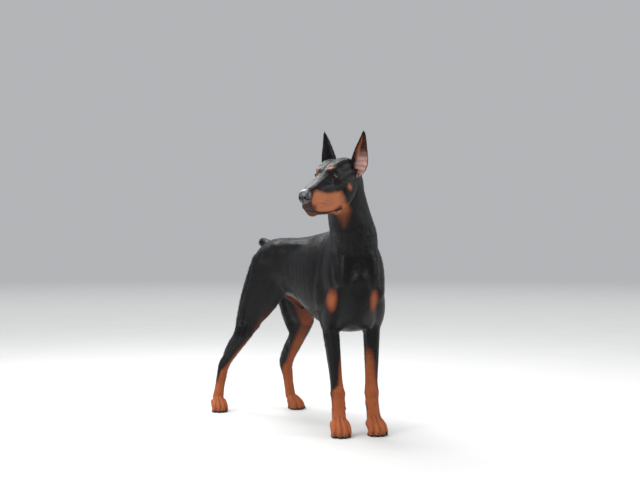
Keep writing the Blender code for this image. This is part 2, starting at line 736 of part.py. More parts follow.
def claws_of(name, grow=0.0):
    """Each claw of a paw, as a name and rows for a tube; grow widens it."""
    place, size = paw_matrix(name), paw_size(name)
    turned = place.to_3x3()
    lines = []
    for across, ahead in TOES:
        line = claw_line(across, ahead)
        lines.append([(place @ (point * size), r * size) for point, r in line])
    if name.startswith("front"):
        side = name.split("_")[1]
        s = 1 if side == "left" else -1
        wrist = foreleg_joints(side)[1]
        ahead = heading(PAWS[name][2])
        inner = ahead.cross(Vector((0, 0, 1))) * s
        lines.append([(wrist + inner * x + ahead * y + Vector((0, 0, z)), r)
                      for x, y, z, r in DEWCLAW])
    found = []
    for number, line in enumerate(lines):
        rows = []
        for k, (point, r) in enumerate(line):
            way = line[min(k + 1, len(line) - 1)][0] - line[max(k - 1, 0)][0]
            side = turned @ Vector((1, 0, 0))
            up = way.cross(side).normalized()
            r += grow
            rows.append((point, side, up, (r * 0.8, r * 0.8, r * 1.2, r)))
        for end, before in ((0, 1), (-1, -2)):
            point, side, up, widths = rows[end]
            out = (point - rows[before][0]).normalized() * grow
            rows[end] = (point + out, side, up, widths)
        found.append(("claw_" + name + "_" + str(number + 1), rows))
    return found


def sheet(clay, centre, normal, along, reach, width):
    """A thin box to cut with, square to normal."""
    normal = normal.normalized()
    along = (along - normal * normal.dot(along)).normalized()
    across = normal.cross(along)
    turned = Matrix((along, across, normal)).transposed().to_4x4()
    place = Matrix.Translation(centre) @ turned @ Matrix.Diagonal((2 * reach, 2 * width, GAP, 1))
    bmesh.ops.create_cube(clay.mesh, size=1, matrix=place)


def prism(clay, outline, offset):
    """A solid between an outline and the same outline moved by offset."""
    low = [clay.mesh.verts.new(point) for point in outline]
    high = [clay.mesh.verts.new(point + offset) for point in outline]
    count = len(outline)
    for k in range(count):
        after = (k + 1) % count
        clay.mesh.faces.new((low[k], low[after], high[after], high[k]))
    clay.mesh.faces.new(list(reversed(low)))
    clay.mesh.faces.new(high)


# The line of the mouth in the head: y and z, from the front round its corner and down
MOUTH = (
    (-0.150, -0.0520),
    (-0.126, -0.0600),
    (-0.100, -0.0710),
    (-0.060, -0.0820),
    (-0.030, -0.0880),
    (-0.012, -0.0940),
    (-0.004, -0.1020),
    (-0.002, -0.1130),
    (-0.004, -0.1350),
)


def mouth_sheet(clay):
    line = np.array(MOUTH)
    steps = np.gradient(line, axis=0)
    normals = np.stack([-steps[:, 1], steps[:, 0]], axis=1)
    normals /= np.linalg.norm(normals, axis=1, keepdims=True)
    outline = np.vstack([line + normals * GAP / 2, (line - normals * GAP / 2)[::-1]])
    half = 0.055
    points = [HEAD @ Vector((-half, y, z)) for y, z in outline]
    prism(clay, points, HEAD.to_3x3() @ Vector((2 * half, 0, 0)))


# The cut under the belly that parts both thighs from the trunk: y and z, from the flank back
GROIN = ((0.290, 0.350), (0.360, 0.374), (0.420, 0.408), (0.470, 0.444), (0.620, 0.530))


def groin_sheet(clay):
    left = spine(0.45)[1]
    outline = [trunk(y, -0.22, z + GAP / 2) for y, z in GROIN]
    outline += [trunk(y, -0.22, z - GAP / 2) for y, z in reversed(GROIN)]
    back = Vector((-left.y, left.x, 0))
    middle = trunk(0.45, 0, 0)
    straight = []
    for point in outline:
        along = (point - middle).dot(back)
        straight.append(middle + back * along - left * 0.24 + Vector((0, 0, point.z)))
    prism(clay, straight, left * 0.48)


# The cut below the knee: how far under the joint, its reach fore and aft and its half width.
# It moves back and widens by this share of how far the knee is bent ahead.
KNEE_CUT = (0.048, 0.090, 0.066)
KNEE_CUT_SHARE = 0.6


def cutting_sheets():
    """Every thin cut that parts the flesh into its named pieces."""
    clay = Clay()
    turned = HEAD.to_3x3()
    side = turned @ Vector((1, 0, 0))
    # Head from neck, between the nape and the throat
    nape, throat = HEAD @ Vector((0, 0.134, 0.016)), HEAD @ Vector((0, 0.056, -0.114))
    sheet(clay, (nape + throat) / 2, side.cross(nape - throat), nape - throat, 0.125, 0.10)
    # Neck from trunk, between the withers and the breast
    top, front = trunk(0.062, 0, 0.720), trunk(-0.150, 0, 0.565)
    sheet(clay, (top + front) / 2, (top - front).cross(spine(0)[1]), top - front, 0.145, 0.15)
    mouth_sheet(clay)
    groin_sheet(clay)
    root, tip = tail_ends()
    sheet(clay, root.lerp(tip, 0.52), tip - root, spine(0.48)[1], 0.040, 0.040)
    for leg in ("left", "right"):
        elbow, wrist, fetlock = foreleg_joints(leg)
        down = (wrist - elbow).normalized()
        ahead = heading(PAWS["front_" + leg][2])
        sheet(clay, elbow + down * 0.052, down, ahead, 0.062, 0.040)
        sheet(clay, wrist.lerp(fetlock, 0.76), Vector((0, 0, 1)), ahead, 0.040, 0.036)
        knee, hock, fetlock = hind_joints(leg)[1:]
        down = (hock - knee).normalized()
        ahead = heading(PAWS["hind_" + leg][2])
        below, reach, width = KNEE_CUT
        extra = KNEES_AHEAD[leg] * KNEE_CUT_SHARE
        sheet(clay, knee + down * below - ahead * extra, down, ahead, reach + extra, width)
        sheet(clay, hock.lerp(fetlock, 0.30), fetlock - hock, ahead, 0.050, 0.036)
    return clay.closed("cutting_sheets")


def softness(points):
    """Where the bulk is smoothed most: the trunk and neck, and least the lower legs."""
    return 0.1 + 0.9 * ramp(points[:, 2], 0.26, 0.42)


def fuse_flesh():
    """The whole body without ears, eyes, nose and claws, as one closed skin."""
    bulk = Clay()
    add_trunk(bulk)
    add_trunk_muscles(bulk)
    add_neck(bulk)
    for side in ("left", "right"):
        add_thigh(bulk, side)
        add_foreleg(bulk, side)
        add_hind_leg(bulk, side)
    base = bulk.fused("base", TRUNK_VOXEL, TRUNK_ROUNDS, softness)
    skull = Clay()
    add_head(skull)
    head = skull.fused("skull", FINE_VOXEL, SKULL_ROUNDS)
    fine = Clay()
    for thing in (base, head):
        fine.mesh.from_mesh(thing.data)
        bpy.data.objects.remove(thing)
    add_eye_rounds(fine)
    add_tail(fine)
    add_sheath(fine)
    for name in PAWS:
        add_paw(fine, name)
    return fine.fused("flesh", FINE_VOXEL, FLESH_ROUNDS)


def take_away(thing, cutter):
    """Cuts cutter out of thing and removes the cutter."""
    cut = thing.modifiers.new("Cut", "BOOLEAN")
    cut.operation = "DIFFERENCE"
    cut.object = cutter
    cut.solver = "EXACT"
    apply_modifiers(thing)
    bpy.data.objects.remove(cutter)


def pieces_of(thing):
    """The closed surfaces of a thing, largest first, each as a bmesh."""
    whole = bmesh.new()
    whole.from_mesh(thing.data)
    bmesh.ops.triangulate(whole, faces=whole.faces)
    left = set(whole.faces)
    found = []
    while left:
        start = left.pop()
        island, queue = [start], [start]
        while queue:
            for edge in queue.pop().edges:
                for face in edge.link_faces:
                    if face in left:
                        left.remove(face)
                        island.append(face)
                        queue.append(face)
        numbers = {}
        piece = bmesh.new()
        for face in island:
            for vert in face.verts:
                if vert not in numbers:
                    numbers[vert] = piece.verts.new(vert.co)
            piece.faces.new([numbers[vert] for vert in face.verts])
        found.append(piece)
    whole.free()
    return sorted(found, key=lambda piece: -len(piece.faces))


def thing_from(piece, name):
    bmesh.ops.recalc_face_normals(piece, faces=piece.faces)
    mesh = bpy.data.meshes.new(name)
    piece.to_mesh(mesh)
    piece.free()
    thing = bpy.data.objects.new(name, mesh)
    bpy.context.collection.objects.link(thing)
    return thing


def keep_largest(thing):
    """Keeps only the largest closed surface of a thing."""
    pieces = pieces_of(thing)
    name = thing.name
    bpy.data.objects.remove(thing)
    return thing_from(pieces[0], name)


def flatten_paws(thing):
    """Sets every point at or under the floor on it."""
    points = points_of(thing)
    points[points[:, 2] < SOLE_HEIGHT, 2] = 0
    thing.data.vertices.foreach_set("co", points.ravel())


def thinned(thing, triangles):
    """Fewer and larger triangles, with the shape kept."""
    whole = bmesh.new()
    whole.from_mesh(thing.data)
    bmesh.ops.triangulate(whole, faces=whole.faces)
    whole.to_mesh(thing.data)
    whole.free()
    fewer = thing.modifiers.new("Fewer", "DECIMATE")
    fewer.ratio = triangles / len(thing.data.polygons)
    return apply_modifiers(thing)


def inflated(thing, name, by=GAP):
    """A copy that is wider by the gap, to take away from a neighbour."""
    copy = bpy.data.objects.new(name, thing.data.copy())
    bpy.context.collection.objects.link(copy)
    wider = copy.modifiers.new("Wider", "DISPLACE")
    wider.strength = by
    wider.mid_level = 0
    return apply_modifiers(copy)


def landmarks():
    """A point on each piece of the flesh, to name it by."""
    found = {
        "head": HEAD @ Vector((0, 0.02, 0.045)),
        "lower_jaw": HEAD @ Vector((0, -0.06, -0.094)),
        "neck": Vector((-0.150, -0.090, 0.795)),
        "torso": trunk(0.25, 0, 0.672),
        "tail": tail_ends()[1],
    }
    for side in ("left", "right"):
        elbow, wrist = foreleg_joints(side)[:2]
        hip, knee, hock = hind_joints(side)[:3]
        found["foreleg_" + side] = elbow.lerp(wrist, 0.5)
        found["front_paw_" + side] = paw_matrix("front_" + side) @ Vector((0, -0.03, 0.05))
        found["thigh_" + side] = hip.lerp(knee, 0.8)
        found["lower_leg_" + side] = knee.lerp(hock, 0.5)
        found["hind_paw_" + side] = paw_matrix("hind_" + side) @ Vector((0, -0.03, 0.05))
    return found


def part_flesh(flesh):
    """Cuts the flesh with the sheets and names each piece by the landmark nearest to it."""
    cutter = cutting_sheets()
    take_away(flesh, cutter)
    pieces = [piece for piece in pieces_of(flesh) if len(piece.faces) > SMALLEST_PIECE]
    bpy.data.objects.remove(flesh)
    found = {}
    for name, point in landmarks().items():
        piece = min(pieces, key=lambda one: min((vert.co - point).length for vert in one.verts))
        pieces.remove(piece)
        found[name] = thing_from(piece, name)
    for piece in pieces:
        piece.free()
    return found


def ball_thing(name, centre, radius):
    clay = Clay()
    bmesh.ops.create_icosphere(clay.mesh, subdivisions=3, radius=radius,
                               matrix=Matrix.Translation(centre))
    return clay.closed(name)


def add_eyes(found):
    for side, s in (("left", 1), ("right", -1)):
        x, y, z = EYE_AT
        centre = HEAD @ Vector((x * s, y, z))
        take_away(found["head"], ball_thing("socket", centre, EYE_RADIUS + GAP))
        opening = Clay()
        opening.tube(almond(s, 0.030))
        take_away(found["head"], opening.closed("opening"))
        found["eye_" + side] = ball_thing("eye_" + side, centre, EYE_RADIUS)


def add_nose_thing(found):
    nose = Clay()
    add_nose(nose)
    nose = thinned(nose.closed("nose"), NOSE_TRIANGLES)
    take_away(found["head"], inflated(nose, "nose_seat"))
    nostrils = Clay()
    add_nostrils(nostrils)
    take_away(nose, thinned(nostrils.fused("nostrils", NOSTRIL_VOXEL, 2), NOSTRIL_TRIANGLES))
    found["nose"] = keep_largest(nose)


def add_ears(found, flesh):
    for side, s in (("left", 1), ("right", -1)):
        clay = Clay()
        add_ear(clay, s)
        ear = clay.closed("ear_" + side)
        take_away(ear, inflated(flesh, "ear_seat", EAR_GAP))
        ear = keep_largest(ear)
        take_away(found["head"], inflated(ear, "ear_print"))
        found["ear_" + side] = ear


def add_claws(found):
    for paw in PAWS:
        kind, side = paw.split("_")
        wider = dict(claws_of(paw, GAP))
        for name, rows in claws_of(paw):
            owner = found[kind + "_paw_" + side]
            if name.endswith("5"):
                owner = found["foreleg_" + side]
            seat = Clay()
            seat.small_tube(wider[name])
            take_away(owner, seat.closed("claw_seat"))
            claw = Clay()
            claw.small_tube(rows)
            found[name] = claw.closed(name)


def finish(found):
    """Sets the whole dog over the origin, and gives each piece its material."""
    low = np.min([points_of(thing).min(axis=0) for thing in found.values()], axis=0)
    high = np.max([points_of(thing).max(axis=0) for thing in found.values()], axis=0)
    shift = Vector((-(low[0] + high[0]) / 2, -(low[1] + high[1]) / 2, -low[2]))
    for name, thing in found.items():
        thing = keep_largest(thing)
        thing.data.transform(Matrix.Translation(shift))
        thing.name = name
        colour, roughness = look_of(name)
        material = bpy.data.materials.new(name)
        material.use_nodes = True
        shader = material.node_tree.nodes["Principled BSDF"]
        shader.inputs["Base Color"].default_value = (*colour, 1)
        shader.inputs["Roughness"].default_value = roughness
        thing.data.materials.append(material)
        thing.data.shade_smooth()
        thing.data.set_sharp_from_angle(angle=math.radians(SHARP_ANGLE))


def look_of(name):
    """The base colour and roughness of a piece."""
    if name.startswith("eye"):
        return (0.035, 0.016, 0.008), 0.1
    if name == "nose" or name.startswith("claw"):
        return (0.012, 0.012, 0.013), 0.35
    if "paw" in name:
        return (0.36, 0.13, 0.045), 0.6
    if name == "lower_jaw":
        return (0.30, 0.10, 0.035), 0.6
    return (0.016, 0.015, 0.016), 0.45


def build():
    for thing in list(bpy.data.objects):
        bpy.data.objects.remove(thing)
    flesh = fuse_flesh()
    flatten_paws(flesh)
    flesh = thinned(flesh, FLESH_TRIANGLES)
    flatten_paws(flesh)
    whole = bpy.data.objects.new("whole", flesh.data.copy())
    bpy.context.collection.objects.link(whole)
    found = part_flesh(flesh)
    add_ears(found, whole)
    bpy.data.objects.remove(whole)
    add_eyes(found)
    add_nose_thing(found)
    add_claws(found)
    finish(found)


build()
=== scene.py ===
"""Looks of a still, life-size doberman pinscher: one skin, short coat, eyes, nose leather and claws."""

import math
from contextlib import contextmanager

import bmesh
import bpy
import numpy as np
from mathutils import Matrix, Vector
from mathutils.bvhtree import BVHTree


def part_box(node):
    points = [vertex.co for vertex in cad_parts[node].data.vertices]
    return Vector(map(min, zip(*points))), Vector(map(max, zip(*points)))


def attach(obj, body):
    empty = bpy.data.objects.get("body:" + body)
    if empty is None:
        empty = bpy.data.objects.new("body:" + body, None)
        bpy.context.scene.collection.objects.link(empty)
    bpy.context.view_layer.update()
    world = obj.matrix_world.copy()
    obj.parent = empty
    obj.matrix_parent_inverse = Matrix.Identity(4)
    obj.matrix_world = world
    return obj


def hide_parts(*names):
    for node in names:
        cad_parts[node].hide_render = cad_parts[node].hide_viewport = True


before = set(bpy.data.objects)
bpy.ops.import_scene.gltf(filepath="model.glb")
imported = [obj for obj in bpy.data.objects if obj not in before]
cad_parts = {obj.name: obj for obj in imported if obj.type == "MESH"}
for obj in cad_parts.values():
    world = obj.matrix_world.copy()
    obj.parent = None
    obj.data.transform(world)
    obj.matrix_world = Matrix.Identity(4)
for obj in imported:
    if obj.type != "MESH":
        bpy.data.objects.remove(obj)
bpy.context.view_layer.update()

# Sizes that the solids are made from, in metres, in the dog's own frame
SIDES = {"left": 1, "right": -1}
UPWARD = Vector((0, 0, 1))
MM = 0.001

# The head's place and turns in degrees, and its eyes: their way out, tilt and almond openings
HEAD_AT = Vector((-0.2185, -0.153, 0.847))
HEAD_TURNS = (-72.5, 20.5, 2.0)
EYE_RADIUS = 0.0112
EYE_AT = Vector((0.0335, 0.0040, 0.0110))
EYE_OUT, EYE_TILT = 22, 10
EYE_LONG, EYE_HIGH = 0.0112, 0.0064

# The bends of the spine to the side
BEND, CURL, TURN, TURN_LENGTH = 0.17, -0.433, 0.36, 0.14

# Where each paw stands, and the way it points in degrees
PAWS = {
    "front_left": (0.0586, -0.049, -14),
    "front_right": (-0.0570, -0.004, -24),
    "hind_left": (0.155, 0.572, 14),
    "hind_right": (-0.116, 0.690, -16),
}

# Joints of the legs: elbows and hips on the trunk, hocks in the dog's frame, and the wrists and
# fetlocks by how far behind the paw's place and how high they are
ELBOW_ALONG, ELBOW_ACROSS, ELBOWS_ASIDE, ELBOW_HEIGHT = 0.012, 0.073, -0.004, 0.388
WRIST_BACK, WRIST_HEIGHT = 0.030, 0.140
FETLOCK_BACK, FETLOCK_HEIGHT = 0.012, 0.045
HIPS = {"left": (0.480, 0.056, 0.552), "right": (0.466, -0.050, 0.552)}
HOCKS = {"left": (0.147, 0.606, 0.165), "right": (-0.090, 0.696, 0.165)}
HIND_FETLOCK_BACK, HIND_FETLOCK_HEIGHT = 0.018, 0.042

# Lengths of the bones, how far the knees are bent ahead and swing out, and where along the trunk the
# haunches are and the way they face in degrees
THIGH_BONE, SHIN_BONE = 0.225, 0.233
KNEES_AHEAD = {"left": 0.0, "right": 0.025}
KNEE_SWING, HAUNCH_ALONG, HAUNCH_TURN = 0.15, 0.48, 14

# Levels of an ear in the head: the place of its back, radius, half angle in degrees and thickness
EAR = (
    (0.035, 0.100, -0.016, 0.0175, 96, 0.0100),
    (0.045, 0.108, 0.003, 0.0255, 92, 0.0080),
    (0.054, 0.115, 0.028, 0.0275, 80, 0.0062),
    (0.061, 0.121, 0.056, 0.0238, 66, 0.0046),
    (0.067, 0.127, 0.079, 0.0185, 54, 0.0042),
    (0.072, 0.131, 0.097, 0.0130, 48, 0.0040),
    (0.075, 0.133, 0.109, 0.0078, 44, 0.0036),
    (0.076, 0.133, 0.116, 0.0036, 40, 0.0028),
)
# The way each ear opens, in the head
EAR_FACING = {1: (0.55, -0.83, 0.05), -1: (-0.88, 0.48, 0.05)}

# Rings of the nose in the head: along it, half width, top and bottom
NOSE = (
    (-0.106, 0.0120, 0.0020, -0.024),
    (-0.114, 0.0170, 0.0050, -0.030),
    (-0.122, 0.0198, 0.0068, -0.034),
    (-0.130, 0.0203, 0.0052, -0.0355),
    (-0.1365, 0.0188, 0.0008, -0.0350),
    (-0.1410, 0.0145, -0.0055, -0.0310),
    (-0.1428, 0.0060, -0.0125, -0.0240),
)

# The line of the mouth in the head: along it and height
MOUTH = ((-0.150, -0.0530), (-0.126, -0.0610), (-0.100, -0.0765), (-0.060, -0.0890),
         (-0.030, -0.0925), (-0.012, -0.0920), (-0.003, -0.0985))

# How the skin lies under the solids' faces, how finely it is made, the height up to which its soles
# are flat, and a gap larger than any here
CLOSE_CUTS = 0.00035
VOXEL = 0.0030
COAT_DEPTH = 0.0010
FACE_DEPTH = 0.0004
SOLE_HEIGHT = 0.0008
FAR = 1e9

rng = np.random.default_rng(11)


# Places
def head_turn():
    """The head's turns about the height, its own side and its own length, in that order."""
    turns = [Matrix.Rotation(math.radians(turn), 3, axis) for turn, axis in zip(HEAD_TURNS, "ZXY")]
    return turns[0] @ turns[1] @ turns[2]


TURNED = head_turn()
eye_middle = sum((sum(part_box("eye_" + side), Vector()) / 2 for side in SIDES), Vector()) / 2
SHIFT = eye_middle - TURNED @ Vector((0, EYE_AT.y, EYE_AT.z)) - HEAD_AT
HEAD = Matrix.Translation(HEAD_AT + SHIFT) @ TURNED.to_4x4()
HEAD_BACK = np.array(HEAD.inverted())


def spine(y):
    """How far to the side the spine lies at y, and the way to the dog's left there."""
    along = max(y, 0.0)
    share = min(along / TURN_LENGTH, 1.0)
    slope = BEND + 2 * CURL * along + TURN * (1 - share) * (1 - 3 * share)
    offset = BEND * y + CURL * along * along + TURN * y * (1 - share) ** 2
    return offset, Vector((1, -slope, 0)).normalized()


def trunk(y, across, z):
    """A place on the trunk: along it, across to the dog's left, and height."""
    offset, left = spine(y)
    return Vector((offset, y, z)) + left * across + SHIFT


def in_head(x, y, z):
    return HEAD @ Vector((x, y, z))


def heading(degrees):
    angle = math.radians(degrees)
    return Vector((math.sin(angle), -math.cos(angle), 0))


def foreleg_joints(side):
    """Elbow, wrist and fetlock."""
    x, y, turn = PAWS["front_" + side]
    ahead = heading(turn)
    ground = Vector((x, y, 0)) + SHIFT
    return (trunk(ELBOW_ALONG, ELBOW_ACROSS * SIDES[side] + ELBOWS_ASIDE, ELBOW_HEIGHT),
            ground - ahead * WRIST_BACK + UPWARD * WRIST_HEIGHT,
            ground - ahead * FETLOCK_BACK + UPWARD * FETLOCK_HEIGHT)


def hind_joints(side):
    """Hip, knee, hock and fetlock, the knee where the lengths of the two bones meet."""
    x, y, turn = PAWS["hind_" + side]
    hip = trunk(*HIPS[side])
    hock = Vector(HOCKS[side]) + SHIFT
    fetlock = Vector((x, y, HIND_FETLOCK_HEIGHT)) + SHIFT - heading(turn) * HIND_FETLOCK_BACK
    reach = hock - hip
    along = reach.normalized()
    outward = heading(HAUNCH_TURN) + spine(HAUNCH_ALONG)[1] * (SIDES[side] * KNEE_SWING)
    forward = (outward - along * along.dot(outward)).normalized()
    share = (THIGH_BONE ** 2 - SHIN_BONE ** 2 + reach.length_squared) / (2 * reach.length)
    bend = math.sqrt(max(THIGH_BONE ** 2 - share ** 2, 0.0001))
    return hip, hip + along * share + forward * (bend + KNEES_AHEAD[side]), hock, fetlock


def leg_ways(kind, side):
    """The way a paw points, and the way inwards from its leg."""
    ahead = heading(PAWS[kind + side][2])
    return ahead, Vector((ahead.y, -ahead.x, 0)) * SIDES[side]


def ramp(values, low, high):
    """0 at low, 1 at high, and smooth between them."""
    t = np.clip((values - low) / (high - low), 0, 1)
    return t * t * (3 - 2 * t)


def to_head(points):
    """Rows of places, seen from the head."""
    return points @ HEAD_BACK[:3, :3].T + HEAD_BACK[:3, 3]


# Camera: the picture's width in pixels and the sensor's in mm, the focal length in pixels and how many
# of them it looks above the horizon, its turn in degrees, and its place from the dog's origin
PICTURE_WIDTH, SENSOR_WIDTH = 640, 36
FOCAL_PIXELS, HORIZON_PIXELS = 1050, 3
CAMERA_TURN, CAMERA_HEIGHT, CAMERA_ASIDE, CAMERA_DISTANCE = 36, 0.647, 0.11, 3.55

# Area lights, by how far to the right of the place they light, beyond it and above it they are as the
# camera sees it, their width and height, and their watts
LIT_AT = Vector((0, 0, 0.55))
AREA_LIGHTS = {
    "top_light": (-0.7, 1.1, 2.2, 1.8, 1.8, 70),
    "left_light": (-2.3, -1.9, 1.4, 1.4, 1.4, 42),
    "right_light": (2.8, -0.4, 1.1, 0.9, 1.8, 24),
}
SUN_WAY, SUN_STRENGTH, SUN_SPREAD = (0.35, 0.10, -1.0), 2.1, 50
ROOM_COLOUR, ROOM_STRENGTH = (0.90, 0.92, 0.95, 1), 0.50


def new_object(name, data):
    thing = bpy.data.objects.new(name, data)
    bpy.context.scene.collection.objects.link(thing)
    return thing


def aim(thing, way):
    thing.rotation_euler = Vector(way).to_track_quat("-Z", "Y").to_euler()


def add_camera():
    """Adds the camera, and gives the ways to its right and away from it."""
    turn = math.radians(CAMERA_TURN)
    right = Vector((math.cos(turn), -math.sin(turn), 0))
    away = Vector((math.sin(turn), math.cos(turn), 0))
    camera = new_object("camera", bpy.data.cameras.new("camera"))
    camera.data.sensor_width = SENSOR_WIDTH
    camera.data.lens = FOCAL_PIXELS / PICTURE_WIDTH * SENSOR_WIDTH
    camera.location = UPWARD * CAMERA_HEIGHT - right * CAMERA_ASIDE - away * CAMERA_DISTANCE + SHIFT
    aim(camera, away + UPWARD * (HORIZON_PIXELS / FOCAL_PIXELS))
    bpy.context.scene.camera = camera
    return right, away


def add_lights(right, away):
    for name, (aside, beyond, up, width, height, watts) in AREA_LIGHTS.items():
        lamp = bpy.data.lights.new(name, "AREA")
        lamp.shape = "RECTANGLE"
        lamp.size, lamp.size_y = width, height
        lamp.energy = watts
        thing = new_object(name, lamp)
        thing.location = LIT_AT + right * aside + away * beyond + UPWARD * up
        aim(thing, LIT_AT - thing.location)
    sun = bpy.data.lights.new("sky_light", "SUN")
    sun.energy = SUN_STRENGTH
    sun.angle = math.radians(SUN_SPREAD)
    aim(new_object("sky_light", sun), SUN_WAY)


def light_room():
    world = bpy.data.worlds.new("studio")
    bpy.context.scene.world = world
    world.use_nodes = True
    background = world.node_tree.nodes["Background"]
    background.inputs[0].default_value = ROOM_COLOUR
    background.inputs[1].default_value = ROOM_STRENGTH
    bpy.context.scene.view_settings.view_transform = "Standard"


# Materials
class Look:
    """A material's shader, written as sums of wrapped sockets."""

    def __init__(self, name):
        self.material = bpy.data.materials.new(name)
        self.material.use_nodes = True
        self.tree = self.material.node_tree
        self.shader = self.tree.nodes["Principled BSDF"]

    def feed(self, socket, value):
        """Links a wrapped socket into a socket, or gives it a plain value."""
        if isinstance(value, Socket):
            self.tree.links.new(value.socket, socket)
        else:
            socket.default_value = value

    def node(self, kind, settings=None, out=0, **sockets):
        """An output of a new node, whose sockets are given by name or as i and a number."""
        made = self.tree.nodes.new(kind)
        for key, value in (settings or {}).items():
            setattr(made, key, value)
        for key, value in sockets.items():
            self.feed(made.inputs[int(key[1:]) if key[1:].isdigit() else key], value)
        return Socket(self, made.outputs[out])

    def attribute(self, name):
        return self.node("ShaderNodeAttribute", {"attribute_name": name}, 2)

    def place(self, scale=(1, 1, 1), turn=(0, 0, 0)):
        spot = self.node("ShaderNodeTexCoord", out=3)
        return self.node("ShaderNodeMapping", i0=spot, i2=turn, i3=scale)

    def noise(self, place, scale, detail=2.0, rough=0.5):
        return self.node("ShaderNodeTexNoise", Vector=place, Scale=scale, Detail=detail, Roughness=rough)

    def mix(self, share, a, b):
        """Colours a and b by a share."""
        return self.node("ShaderNodeMix", {"data_type": "RGBA"}, 2, i0=share, i6=a, i7=b)

    def step(self, value, low, high):
        """0 at low, 1 at high, and smooth between them."""
        return self.node("ShaderNodeMapRange", {"interpolation_type": "SMOOTHSTEP"},
                         i0=value, i1=low, i2=high, i3=0.0, i4=1.0)

    def bump(self, height, distance, strength):
        return self.node("ShaderNodeBump", Height=height, Distance=distance, Strength=strength)

    def set(self, **values):
        for key, value in values.items():
            self.feed(self.shader.inputs[key.replace("_", " ")], value)
        return self.material


class Socket:
    """One output of a look, which adds Math nodes when it is used in an expression."""

    def __init__(self, look, socket):
        self.look, self.socket = look, socket

    def maths(self, operation, a, b):
        return self.look.node("ShaderNodeMath", {"operation": operation}, i0=a, i1=b)

    def __add__(self, other):
        return self.maths("ADD", self, other)

    def __radd__(self, other):
        return self.maths("ADD", other, self)

    def __sub__(self, other):
        return self.maths("SUBTRACT", self, other)

    def __rsub__(self, other):
        return self.maths("SUBTRACT", other, self)

    def __mul__(self, other):
        return self.maths("MULTIPLY", self, other)

    def __rmul__(self, other):
        return self.maths("MULTIPLY", other, self)


def colour(r, g, b):
    return (r, g, b, 1.0)


def coat_look():
    """Short glossy coat: black, with rust where the rust attribute says, bare and pink in the ear."""
    look = Look("short_coat")
    rust, pink, bare, dark = (look.attribute(name) for name in ("rust", "pink", "bare", "dark"))
    legs, skull = look.attribute("legs"), look.attribute("skull")
    fine = look.noise(look.place(), 260.0, 3.0, 0.6)
    broad = look.noise(look.place(), 14.0, 3.0)
    # Hairs as streaks along the lie of the coat on the trunk, the legs and the head
    turns = (0.0, 0.0, math.radians(-HEAD_TURNS[0]))
    body_hair = look.noise(look.place((900, 120, 700)), 1.0, 2.0, 0.6)
    leg_hair = look.noise(look.place((900, 900, 110)), 1.0, 2.0, 0.6)
    head_hair = look.noise(look.place((1000, 150, 1000), turns), 1.0, 2.0, 0.6)
    hair = body_hair * (1 - legs) + leg_hair * legs
    hair = hair * (1 - skull) + head_hair * skull
    edge = rust + (fine - 0.5) * 0.005 + (hair - 0.5) * 0.011 + (broad - 0.5) * 0.004
    rusty = look.step(edge, -0.0012, 0.0030)
    rich = look.step(edge, 0.000, 0.0140)
    black = look.mix(look.step(hair, 0.35, 0.72), colour(0.0012, 0.0012, 0.0015),
                     colour(0.0045, 0.0046, 0.0058))
    deep = look.mix(look.step(broad, 0.3, 0.7), colour(0.200, 0.043, 0.013), colour(0.290, 0.072, 0.022))
    lit = look.step(hair, 0.30, 0.75)
    tan = look.mix(lit, deep, colour(0.38, 0.110, 0.036))
    pale = look.mix(lit, colour(0.40, 0.125, 0.050), colour(0.54, 0.200, 0.090))
    tan = look.mix(skull * 0.8, tan, pale)
    tan = look.mix(rich, colour(0.085, 0.018, 0.007), tan)
    # Darker by the dark attribute: dark skin of the lips and chin, and painted shade on the throat and under
    # the nose
    tan = look.mix(dark * 0.93, tan, colour(0.016, 0.008, 0.006))
    base = look.mix(rusty, black, tan)
    flesh = look.mix(look.step(broad, 0.35, 0.65), colour(0.52, 0.25, 0.20), colour(0.74, 0.46, 0.40))
    base = look.mix(pink, base, flesh)
    base = look.mix(bare, base, colour(0.010, 0.0095, 0.010))
    rough = 0.41 + (hair - 0.5) * 0.24 + rusty * 0.16 + (broad - 0.5) * 0.10 + bare * 0.10
    normal = look.bump(hair + (fine - 0.5) * 0.3, 0.00045, 0.55)
    return look.set(Base_Color=base, Roughness=rough, Normal=normal, IOR=1.29)


def pad_look():
    """Black leather in small raised cells."""
    look = Look("nose_leather")
    cells = look.node("ShaderNodeTexVoronoi", {"feature": "DISTANCE_TO_EDGE"},
                      Vector=look.place(), Scale=620.0)
    fine = look.noise(look.place(), 900.0, 2.0)
    broad = look.noise(look.place(), 60.0, 2.0)
    grain = look.step(cells, 0.0, 0.10)
    base = look.mix(broad, colour(0.010, 0.010, 0.011), colour(0.034, 0.033, 0.036))
    rough = 0.34 + (1 - grain) * 0.14 + broad * 0.10
    normal = look.bump(grain + fine * 0.2, 0.0004, 0.5)
    return look.set(Base_Color=base, Roughness=rough, Normal=normal, Coat_Weight=0.75, Coat_Roughness=0.20)


def horn_look():
    """Dark horn with streaks along the claw."""
    look = Look("claw_horn")
    streaks = look.noise(look.place((500, 500, 90)), 1.0, 3.0)
    base = look.mix(look.step(streaks, 0.3, 0.7), colour(0.007, 0.006, 0.006), colour(0.035, 0.028, 0.024))
    return look.set(Base_Color=base, Roughness=0.30 + streaks * 0.2, Normal=look.bump(streaks, 0.0002, 0.5))


